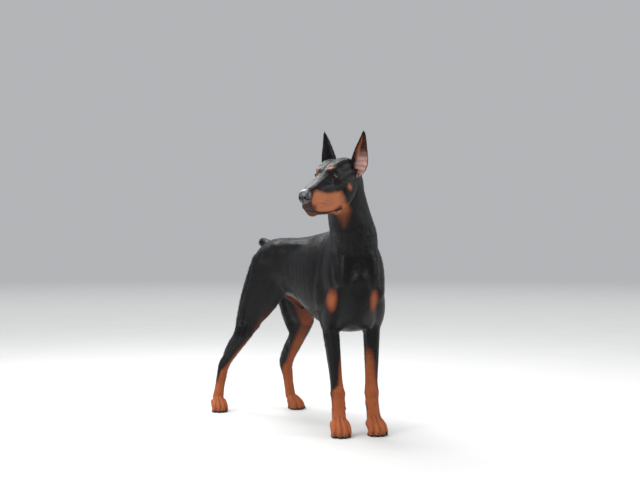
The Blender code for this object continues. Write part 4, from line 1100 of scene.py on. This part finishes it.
# Rust where there is none, and the height that the markings of the head and throat keep above
NO_RUST = -0.05
THROAT_HEIGHT = 0.60

# Upper edge of the rust on the muzzle and cheeks, by how far along the head; and its rear edge, by height
RUST_EDGE = ((-0.145, -0.118, -0.108, -0.095, -0.080, -0.060, -0.040, -0.021, 0.011, 0.014),
             (-0.034, -0.014, -0.0020, 0.0000, -0.0080, -0.0200, -0.0260, -0.0290, -0.0385, -0.0600))
RUST_BACK = ((-0.150, -0.114, -0.075, -0.040, -0.030), (0.036, 0.034, 0.014, 0.012, 0.005))
THROAT_END = (-0.122, -0.117, 0.690)

# The spots over the eyes: place in the head and strength
BROWS = {1: ((0.0207, -0.0008, 0.0372), 1.35), -1: ((-0.0250, -0.0090, 0.0320), 1.0)}

# The rust spots on the chest: along the trunk, height, and across it on each side
CHEST_SPOT_Y, CHEST_SPOT_HEIGHT = -0.100, 0.457
CHEST_SPOTS_ACROSS = {1: 0.050, -1: -0.086}

# How much the rust side of a foreleg looks inwards and ahead, and of a hind leg
FORELEG_RUST = {"left": (0.75, 0.55), "right": (1.0, 0.15)}
HIND_LEG_RUST = (0.62, 0.75)

# How far round a foreleg and a hind leg the rust reaches at each height, 1 being straight inwards
FORELEG_LEVELS = {
    "left": ((0.06, 0.115, 0.140, 0.165, 0.21, 0.27, 0.31), (-1.6, -1.05, -0.72, -0.25, 0.15, 0.62, 1.15)),
    "right": ((0.06, 0.130, 0.150, 0.172, 0.21, 0.27, 0.31), (-1.6, -1.15, -0.95, -0.10, 0.15, 0.62, 1.15)),
}
HIND_LEG_LEVELS = {
    "left": ((0.05, 0.095, 0.125, 0.165, 0.20, 0.28, 0.36, 0.43, 0.47),
             (-1.6, -1.05, -0.55, 0.05, 0.26, 0.50, 0.74, 0.86, 1.2)),
    "right": ((0.05, 0.095, 0.125, 0.165, 0.20, 0.28, 0.36, 0.43, 0.47),
              (-1.6, -1.05, -0.55, 0.05, 0.36, 0.64, 0.85, 0.92, 1.2)),
}


def face_rust(own):
    """The sides of the muzzle, the cheeks and the lower jaw."""
    y, z = own[:, 1], own[:, 2]
    edge, back = np.interp(y, *RUST_EDGE), np.interp(z, *RUST_BACK)
    face = np.minimum(np.minimum(edge - z, (back - y) * 0.8), 0.03)
    return np.minimum(face, np.minimum((z + 0.128) * 0.6, (0.075 - y) * 0.8))


def throat_rust(points):
    """The throat, narrowing down to a point, and the painted shade that darkens it further down the line."""
    line = [in_head(0, 0.020, -0.106), in_head(0, 0.052, -0.124), Vector(THROAT_END) + SHIFT]
    gap, share = line_gap(points, line)
    # Painted shade on the throat's rust, stronger towards its point
    dark = ramp(share, 0.0, 0.8) * (gap < 0.06) * (points[:, 2] > THROAT_HEIGHT) * 0.74
    return 0.039 * (1 - share) ** 0.7 - gap * 0.75, dark


def spot_rust(points, own):
    """Spots over the eyes, on the cheeks, on the chest and under the tail, and the rear of the belly."""
    found = [patch(points, trunk(0.545, 0, 0.590), (0.022, 0.03, 0.026))]
    belly = line_gap(points, [trunk(0.26, 0.0, 0.412), trunk(0.33, 0.0, 0.440), trunk(0.42, 0, 0.462)])[0]
    found.append(0.016 - belly)
    for s in (1, -1):
        brow, strength = BROWS[s]
        found.append(strength * patch(own, brow, (0.0120, 0.0135, 0.0108)))
        found.append(1.15 * patch(own, (0.0535 * s, 0.0373, -0.0365), (0.022, 0.0110, 0.0160)))
        left = spine(CHEST_SPOT_Y)[1] * s
        turned = Matrix((left, Vector((-left.y, left.x, 0)), UPWARD)).transposed()
        spot = trunk(CHEST_SPOT_Y, CHEST_SPOTS_ACROSS[s], CHEST_SPOT_HEIGHT)
        found.append(patch(points, spot, (0.0190, 0.085, 0.043), turned) * 0.8)
    return np.maximum.reduce(found)


def leg_rust(points):
    """The inner sides of the legs, and the wrists, pasterns and paws."""
    high, found = points[:, 2], []
    for side in SIDES:
        elbow, wrist, low = foreleg_joints(side)
        ahead, inward = leg_ways("front_", side)
        inwards, onwards = FORELEG_RUST[side]
        line = (elbow + UPWARD * 0.1, wrist, low, low - UPWARD * 0.05 + ahead * 0.03)
        turn, gap = round_leg(points, line, inward * inwards + ahead * onwards)
        leg = (turn - np.interp(high, *FORELEG_LEVELS[side])) * 0.018
        found.append(np.where((gap < 0.062) & (high < 0.33), leg, -1))
        joints = hind_joints(side)
        ahead, inward = leg_ways("hind_", side)
        inwards, onwards = HIND_LEG_RUST
        line = (*joints, joints[-1] - UPWARD * 0.04 + ahead * 0.04)
        turn, gap = round_leg(points, line, inward * inwards + ahead * onwards)
        leg = np.minimum((turn - np.interp(high, *HIND_LEG_LEVELS[side])) * 0.024, (0.105 - gap) * 0.6)
        found.append(np.where(high < 0.50, leg, -1))
    return np.maximum.reduce(found)


def ear_marks(points, rust):
    """The rust with the cups of the ears and their black edges, and how pink the cups are, less so in bands
    of painted fold shade.
    """
    gap, inner, share, lean = ear_nearness(points)
    on_ear = gap < 0.0045
    black_edge = np.maximum.reduce([(lean - 0.80 + 0.34 * ramp(share, 0.45, 0.95)) * 0.05,
                                    (share - 0.80 + 0.05 * lean) * 0.10,
                                    (0.30 - share + 0.14 * (lean - 0.45)) * 0.10 * (lean > 0.1)])
    cup = np.where(inner > 0.5, np.clip(-black_edge + 0.0005, -0.012, 0.016), -0.012)
    # Painted shade of the folds: the pink weakens in bands across the lower cup
    folds = 0.80 + 0.20 * np.cos(share * 80 + lean * 2.5)
    pink = on_ear * inner * (1 - ramp(share, 0.25, 0.50)) * 0.90 * folds * (1 - ramp(lean, 0.10, 0.50))
    return np.where(on_ear & (share > 0.12), cup, rust), pink


def eye_rims(own, head):
    """The bare skin round each eye."""
    found = []
    for s in (1, -1):
        middle, look, along, up = (np.array(part) for part in almond_axes(s))
        away = own - middle
        size = np.hypot((away @ along) / (EYE_LONG + 0.0022), (away @ up) / (EYE_HIGH + 0.0022))
        found.append((1 - ramp(size, 0.95, 1.15)) * ((away @ look) > 0) * head)
    return np.maximum.reduce(found)


def markings(points):
    """Rust, dark (dark skin and painted shade), pink (with painted fold shade in the ears), bare, leg and
    skull shares of the coat at places on the skin.
    """
    own = to_head(points)
    y, z = own[:, 1], own[:, 2]
    head, legs, paws = region_weights(points)
    throat, throat_painted_shade = throat_rust(points)
    front = np.where(points[:, 2] > THROAT_HEIGHT, np.maximum(face_rust(own), throat), NO_RUST)
    rust = np.maximum.reduce([np.full(len(points), NO_RUST), front, spot_rust(points, own), leg_rust(points)])
    rust, pink = ear_marks(points, rust)
    # Dark lips and lower jaw, and a dark chin and edge under the nose, these two partly painted shade beneath
    # the nose; with the throat's painted shade
    mouth_z = np.interp(y, *zip(*MOUTH))
    lips = np.exp(-((z - mouth_z) / 0.0042) ** 2) * (y < 0.002) * (y > -0.16) * head
    corner = np.exp(-((y + 0.016) / 0.017) ** 2 - ((z + 0.089) / 0.0075) ** 2) * head
    jaw = ramp(mouth_z - z, -0.001, 0.003) * (1 - ramp(y, -0.045, -0.010)) * head * 0.80
    # Chin and skin under the nose: dark skin, partly painted shade beneath the nose
    chin = ramp(-y, 0.106, 0.122) * ramp(-z, 0.036, 0.050) * head * 0.90
    under_nose = ramp(-y, 0.119, 0.127) * head
    dark = np.clip(np.maximum.reduce([lips, corner, chin, jaw, under_nose, throat_painted_shade]), 0, 1)
    soles = 1 - ramp(points[:, 2], 0.004, 0.009)
    bare = np.maximum.reduce([eye_rims(own, head), soles, lips * 0.9 * (np.abs(z - mouth_z) < 0.004)])
    return {"rust": rust, "dark": dark, "pink": pink, "bare": bare, "legs": legs, "skull": head}


def give(mesh, shares):
    """Writes values at the points of a mesh, one attribute for each name."""
    for name, values in shares.items():
        layer = mesh.attributes.new(name, "FLOAT", "POINT")
        layer.data.foreach_set("value", np.asarray(values, np.float32))


# Tufts: places along the spine, the size of a tuft's patch, and how many are laid
SPINE_PLACES = np.linspace(-0.2, 0.6, 81)
PATCH_SIZE = 0.003
HAIRS, EDGE_HAIRS = 90000, 16000


def lie_of(points):
    """The way the coat lies at each place."""
    head, legs, paws = region_weights(points)
    count, turned = len(points), np.array(TURNED)
    slopes = np.array([spine(y)[1][:] for y in SPINE_PLACES])
    left = slopes[np.interp(points[:, 1] - SHIFT.y, SPINE_PLACES, np.arange(len(SPINE_PLACES))).astype(int)]
    back = np.stack([-left[:, 1], left[:, 0], np.zeros(count)], 1)
    body = back + np.array([0, 0, -0.55])
    neck_share = ramp(points[:, 2], 0.66, 0.74)[:, None]
    neck_way = np.array((trunk(0.05, 0, 0.60) - in_head(0, 0.08, -0.02)).normalized())
    body = body * (1 - neck_share) + neck_way * neck_share
    down = np.tile([0.0, 0.0, -1.0], (count, 1)) + 0.25 * back
    skull = np.tile(turned @ np.array([0.0, 1.0, -0.25]), (count, 1))
    way = body * (1 - legs)[:, None] + down * legs[:, None]
    way = way * (1 - head)[:, None] + skull * head[:, None]
    gap, inner, share, lean = ear_nearness(points)
    up = turned @ np.array([0.0, 0.1, 1.0])
    ear = ((gap < 0.005) & (share > 0.12)).astype(float)[:, None]
    way = way * (1 - ear) + up * ear
    feet = paws[:, None]
    return way * (1 - feet) + feet * (np.array([0.0, -0.7, -0.7]) + 0 * way)


def unwrap(points):
    """A place on a flat layout of the body: the head, trunk and each leg in its own field."""
    own = to_head(points)
    head, legs, paws = region_weights(points)
    y = points[:, 1] - SHIFT.y
    offsets = np.interp(y, SPINE_PLACES, [spine(a)[0] for a in SPINE_PLACES])
    around = np.arctan2(points[:, 0] - SHIFT.x - offsets, points[:, 2] - 0.53) / (2 * math.pi) + 0.5
    u, v = 0.02 + 0.62 * (np.clip(y, -0.3, 0.6) + 0.3) / 0.9, 0.02 + 0.46 * around
    skull = head > 0.5
    around = np.arctan2(own[:, 0], own[:, 2] + 0.03) / (2 * math.pi) + 0.5
    u = np.where(skull, 0.68 + 0.30 * (np.clip(own[:, 1], -0.15, 0.15) + 0.15) / 0.30, u)
    v = np.where(skull, 0.02 + 0.46 * around, v)
    low = legs > 0.5
    x = points[:, 0] - SHIFT.x
    for k, (name, (px, py, turn)) in enumerate(PAWS.items()):
        kind, side = name.split("_")
        joints = foreleg_joints(side) if kind == "front" else hind_joints(side)
        gap = line_gap(points, joints + (Vector((px, py, 0.0)) + SHIFT,))[0]
        line = np.array([[j.z, j.x, j.y] for j in joints] + [[0, px + SHIFT.x, py + SHIFT.y]])
        line = line[line[:, 0].argsort()]
        cx, cy = (np.interp(points[:, 2], line[:, 0], line[:, c]) for c in (1, 2))
        around = np.arctan2(points[:, 0] - cx, points[:, 1] - cy) / (2 * math.pi) + 0.5
        mine = low & (gap < 0.10) & ((y < 0.25) == (kind == "front")) & ((x - cx + SHIFT.x) ** 2 < 0.01)
        u = np.where(mine, 0.02 + 0.24 * k + 0.22 * around, u)
        v = np.where(mine, 0.52 + 0.46 * np.clip(points[:, 2] / 0.42, 0, 1), v)
    return np.stack([u, v], 1)


def lay_out(mesh, roots, corners, faces):
    """The map OFBake: each tuft is a small patch at its root's place on the layout."""
    patches = np.tile(np.array(corners) * PATCH_SIZE, (faces, 1))
    coords = unwrap(roots)[:, None, :] + patches[None]
    layer = mesh.uv_layers.new(name="OFBake")
    layer.data.foreach_set("uv", coords.astype(np.float32).ravel())


def scattered(mesh, count, wanted):
    """Random roots on a mesh, thinned by wanted(points), with the normal there."""
    points, normals, corners = points_of(mesh), normals_of(mesh), corners_of(mesh)
    a, b, c = (points[corners[:, k]] for k in range(3))
    weight = np.linalg.norm(np.cross(b - a, c - a), axis=1) * wanted((a + b + c) / 3)
    chosen = corners[rng.choice(len(corners), count, p=weight / weight.sum())]
    u, v = rng.random(count), rng.random(count)
    flip = u + v > 1
    u, v = np.where(flip, 1 - u, u), np.where(flip, 1 - v, v)
    spots, ways = (sum(rows[chosen[:, k]] * share[:, None] for k, share in enumerate((1 - u - v, u, v)))
                   for rows in (points, normals))
    return spots, ways / np.linalg.norm(ways, axis=1, keepdims=True)


def tufts(name, spots, normals, ways, length, width, lift, material, segments=1):
    """Flat, tapered tufts with a triangular section, that bend down towards their tips."""
    count = len(spots)
    tangent = ways - normals * (ways * normals).sum(1, keepdims=True)
    tangent += rng.normal(0, 0.16, tangent.shape) * np.linalg.norm(tangent, axis=1, keepdims=True)
    tangent -= normals * (tangent * normals).sum(1, keepdims=True)
    tangent /= np.maximum(np.linalg.norm(tangent, axis=1, keepdims=True), 1e-9)
    side = np.cross(normals, tangent)
    length = length * rng.uniform(0.7, 1.25, (count, 1))
    lift = lift * rng.uniform(0.5, 1.5, (count, 1))
    width = width * rng.uniform(0.8, 1.2, (count, 1))
    rings = []
    for k in range(segments):
        t = k / segments
        rise = np.sin(t * math.pi * 0.75) * lift * length * 0.9
        centre = spots + tangent * length * t + normals * (rise - 0.0005 * (k == 0))
        r = width * (1 - t) ** 0.7
        rings += [centre + side * r, centre - side * r, centre + normals * r * 0.55]
    tip = spots + tangent * length + normals * np.sin(math.pi * 0.75) * lift * length * 0.9
    points = np.stack(rings + [tip], 1).reshape(-1, 3)
    per = 3 * segments + 1
    faces = [(1, 0, 2)]
    for k in range(segments - 1):
        for a, b in ((0, 1), (1, 2), (2, 0)):
            low, high = k * 3, k * 3 + 3
            faces += [(low + a, low + b, high + b), (low + a, high + b, high + a)]
    last = 3 * (segments - 1)
    faces += [(last, last + 1, per - 1), (last + 1, last + 2, per - 1), (last + 2, last, per - 1)]
    whole = (np.arange(count)[:, None, None] * per + np.array(faces)[None]).reshape(-1, 3)
    thing = thing_of(name, points, whole, material)
    give(thing.data, {key: np.repeat(value, per) for key, value in markings(spots).items()})
    lay_out(thing.data, spots, ((-0.5, -0.5), (0.5, -0.5), (0.0, 0.5)), len(faces))
    thing.data.shade_smooth()
    return thing


def furred(points):
    """How thickly tufts grow: not on the soles, the nose and the eyes, and thickest on the head."""
    own = to_head(points)
    clear = (points[:, 2] > 0.010) * (own[:, 1] > -0.121)
    for s in (1, -1):
        middle = np.array(in_head(EYE_AT.x * s, EYE_AT.y - 0.004, EYE_AT.z))
        clear = clear * (np.linalg.norm(points - middle, axis=1) > 0.0165)
    return clear * (1 + 0.8 * region_weights(points)[0])


def edge_furred(points):
    """How thickly the longer tufts grow, where the coat breaks the outline."""
    y, z = points[:, 1] - SHIFT.y, points[:, 2]
    gap, inner, share, lean = ear_nearness(points)
    seat = np.exp(-((y - 0.55) / 0.05) ** 2) * (z > 0.30) * (z < 0.62)
    belly = (z < 0.42) * (z > 0.33) * (y > 0.02) * (y < 0.40) * 0.7
    elbow = (z > 0.30) * (z < 0.42) * (y > 0.02) * (y < 0.09) * 0.7
    throat = (z > 0.52) * (z < 0.72) * (y < -0.06) * 0.35
    ears = (gap < 0.006) * (share > 0.1) * 1.6
    tail = np.exp(-(np.linalg.norm(points - np.array(trunk(0.525, 0, 0.655)), axis=1) / 0.03) ** 2) * 2.0
    rear = (y > 0.5) * (z > 0.12) * (z < 0.34) * 0.5
    paws = region_weights(points)[2]
    return furred(points) * (0.02 + seat + belly + elbow + throat + ears + tail + rear) * (1 - paws)


def coat_hairs(mesh, material):
    """Small tufts all over, in two pieces."""
    spots, normals = scattered(mesh, HAIRS, furred)
    ways = lie_of(spots)
    head, legs, paws = region_weights(spots)
    gap, inner, share, lean = ear_nearness(spots)
    small = np.maximum(head, paws)
    length = (0.0092 - 0.0050 * small - 0.0015 * legs)[:, None]
    width = (0.00050 - 0.00022 * small)[:, None]
    keep = ~((gap < 0.005) & (inner > 0.5) & (share < 0.35))
    for number in range(2):
        mine = keep & (np.arange(len(spots)) % 2 == number)
        yield tufts("coat_hairs_%d" % (number + 1), spots[mine], normals[mine], ways[mine],
                    length[mine], width[mine], 0.085, material)


def coat_edges(mesh, material):
    """Longer tufts where the coat breaks the outline."""
    spots, normals = scattered(mesh, EDGE_HAIRS, edge_furred)
    ways = lie_of(spots)
    gap, inner, share, lean = ear_nearness(spots)
    on_ear = (gap < 0.006).astype(float)
    length = (0.0125 - 0.0070 * np.maximum(on_ear, region_weights(spots)[0]))[:, None]
    keep = ~((inner > 0.5) & (share < 0.35) & (gap < 0.006))
    return tufts("coat_edges", spots[keep], normals[keep], ways[keep],
                 length[keep], 0.00055, 0.16, material, 3)


# Eyes, nose, whiskers, claws
EYE_RINGS, EYE_POINTS = 40, 64
CORNEA_REACH, CORNEA_SWELL = 0.62, 0.0011


def make_eye(side, material):
    """A ball with the bulge of its cornea, and how far each place is from the look."""
    middle, look, along, up = almond_axes(SIDES[side])
    points, off, around = [], [], []
    for r in range(EYE_RINGS + 1):
        angle = math.pi * (r / EYE_RINGS) ** 1.3
        outward = math.sin(min(angle, math.pi / 2))
        swell = CORNEA_SWELL * max(0.0, 1 - (outward / CORNEA_REACH) ** 2)
        for k in range(EYE_POINTS):
            turn = 2 * math.pi * k / EYE_POINTS
            way = look * math.cos(angle) + (along * math.cos(turn) + up * math.sin(turn)) * math.sin(angle)
            points.append(HEAD @ (middle + way * (EYE_RADIUS - 0.0002 + swell)))
            off.append(outward)
            around.append(math.cos(turn))
    faces = tube_faces(EYE_RINGS + 1, EYE_POINTS)
    thing = thing_of("eye_ball_" + side, np.array(points), faces, material)
    give(thing.data, {"off_axis": off, "round_axis": around})
    thing.data.shade_smooth()
    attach(thing, "root")
    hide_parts("eye_" + side)


NOSE_STEPS, NOSE_POINTS, NOSE_POWER = 9, 120, 2 / 2.6


def make_nose(material):
    """The leather of the nose, with its two comma-shaped nostrils and the furrow between them."""
    rows, count, points = eased(NOSE, NOSE_STEPS), NOSE_POINTS, []
    for y, half, top, bottom in rows:
        middle, reach = (top + bottom) / 2, (top - bottom) / 2
        for k in range(count):
            angle = 2 * math.pi * k / count
            a, b = math.cos(angle), math.sin(angle)
            x = math.copysign(abs(a) ** NOSE_POWER, a) * half
            z = math.copysign(abs(b) ** NOSE_POWER, b) * reach
            points.append((x, y, middle + z))
    points.append((0, rows[-1][0] - 0.0002, (rows[-1][2] + rows[-1][3]) / 2))
    thing = thing_of("nose_pad", np.array(points), tube_faces(len(rows), count))
    with edited(thing.data) as shape:
        *last, tip = shape.verts[-count - 1:]
        for k in range(count):
            shape.faces.new((last[k], last[(k + 1) % count], tip))
        bmesh.ops.recalc_face_normals(shape, faces=shape.faces)
    finer = thing.modifiers.new("Finer", "SUBSURF")
    finer.levels = finer.render_levels = 1
    apply_modifiers(thing)
    own = points_of(thing.data)
    x, y, z = np.abs(own[:, 0]), own[:, 1], own[:, 2]
    hole = 1 - ramp(np.hypot((x - 0.0092) / 0.0050, (z + 0.0140) / 0.0050), 0.55, 1.05)
    wing_z = np.interp(x, (0.0095, 0.0200), (-0.0160, -0.0215))
    wing = (1 - ramp(np.abs(z - wing_z), 0.0008, 0.0026)) * ramp(x, 0.0085, 0.0115)
    sunk = np.maximum(hole * 0.0110, wing * 0.0042) * (y < -0.124)
    own[:, 1] += sunk * np.where(x < 0.0145, 1.0, 0.6)
    own[:, 0] -= np.sign(own[:, 0]) * np.where(x > 0.0145, sunk * 0.5, 0)
    furrow = np.exp(-(own[:, 0] / 0.0011) ** 2) * (y < -0.131) * ramp(-z, 0.006, 0.012)
    own[:, 1] += furrow * 0.0016
    off = np.hypot((x - 0.0094) / 0.0055, (z + 0.0138) / 0.0055)
    rim = np.exp(-((off - 1.15) / 0.18) ** 2) * (y < -0.128)
    own[:, 1] -= rim * 0.0006
    put(thing.data, own @ np.array(TURNED).T + np.array(HEAD.translation))
    relax(thing.data, 2, np.ones(len(own)) * 0.6)
    thing.data.materials.append(material)
    thing.data.shade_smooth()
    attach(thing, "root")
    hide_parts("nose")


WHISKER_RINGS, WHISKER_SIDES = 6, 5


def make_whiskers(skin, material):
    """Rows of whiskers on the muzzle and a pair over each eye, as thin tapered tubes."""
    tree = BVHTree.FromPolygons(points_of(skin.data).tolist(), corners_of(skin.data).tolist())
    roots = [(0.05, -0.108 + 0.012 * k, -0.036 - 0.009 * row - 0.002 * k, 0.020 + 0.004 * k)
             for row in range(3) for k in range(5)]
    roots += [(0.03, -0.020, 0.045, 0.020), (0.034, -0.014, 0.045, 0.017)]
    back = TURNED @ Vector((0, 1, -0.25))
    points = []
    for s in (1, -1):
        for x, y, z, length in roots:
            spot, normal = tree.find_nearest(in_head(x * s, y, z))[:2]
            way = (normal * 0.9 + back * 0.9 + Vector(rng.normal(0, 0.12, 3))).normalized()
            side = way.cross(UPWARD).normalized()
            up = side.cross(way)
            for k in range(WHISKER_RINGS):
                t = k / (WHISKER_RINGS - 1)
                bend = back * 0.006 * t * t
                centre = spot - normal * 0.0008 + way * length * t + bend - UPWARD * (0.004 * t * t)
                r = 0.00022 * (1 - t) + 0.00003
                for j in range(WHISKER_SIDES):
                    angle = 2 * math.pi * j / WHISKER_SIDES
                    points.append(centre + side * r * math.cos(angle) + up * r * math.sin(angle))
    per = WHISKER_RINGS * WHISKER_SIDES
    one = np.array(tube_faces(WHISKER_RINGS, WHISKER_SIDES))
    faces = (np.arange(len(points) // per)[:, None, None] * per + one[None]).reshape(-1, 4)
    thing = thing_of("whiskers", np.array([p[:] for p in points]), faces, material)
    shares = {"rust": NO_RUST, "dark": 0, "pink": 0, "bare": 1, "legs": 0, "skull": 1}
    give(thing.data, {name: np.full(len(points), share) for name, share in shares.items()})
    lay_out(thing.data, points_of(thing.data)[::per], ((-0.5, -0.5), (0.5, -0.5), (0.5, 0.5), (-0.5, 0.5)),
            len(one))
    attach(thing, "root")


def dress_claws(material):
    """Rounds the claws' own solids and gives them horn."""
    for name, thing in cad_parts.items():
        if name.startswith("claw"):
            joined = thing.modifiers.new("Joined", "WELD")
            joined.merge_threshold = 0.00002
            rounder = thing.modifiers.new("Rounder", "SUBSURF")
            rounder.levels = rounder.render_levels = 2
            thing.data.materials.clear()
            thing.data.materials.append(material)
            thing.data.shade_smooth()


def lay_floor():
    mesh = bpy.data.meshes.new("floor")
    mesh.from_pydata([(-90, -90, 0), (90, -90, 0), (90, 90, 0), (-90, 90, 0)], [], [(0, 1, 2, 3)])
    mesh.materials.append(floor_look())
    new_object("floor", mesh)


# The whole
right, away = add_camera()
coat = coat_look()
skin = make_skin()
give(skin.data, markings(points_of(skin.data)))
skin.data.materials.clear()
skin.data.materials.append(coat)
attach(skin, "root")
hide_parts(*FLESH, "ear_left", "ear_right")
for piece in (*coat_hairs(skin.data, coat), coat_edges(skin.data, coat)):
    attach(piece, "root")
make_whiskers(skin, coat)
eye_colours = eye_look()
for eye_side in SIDES:
    make_eye(eye_side, eye_colours)
make_nose(pad_look())
dress_claws(horn_look())
lay_floor()
add_lights(right, away)
light_room()
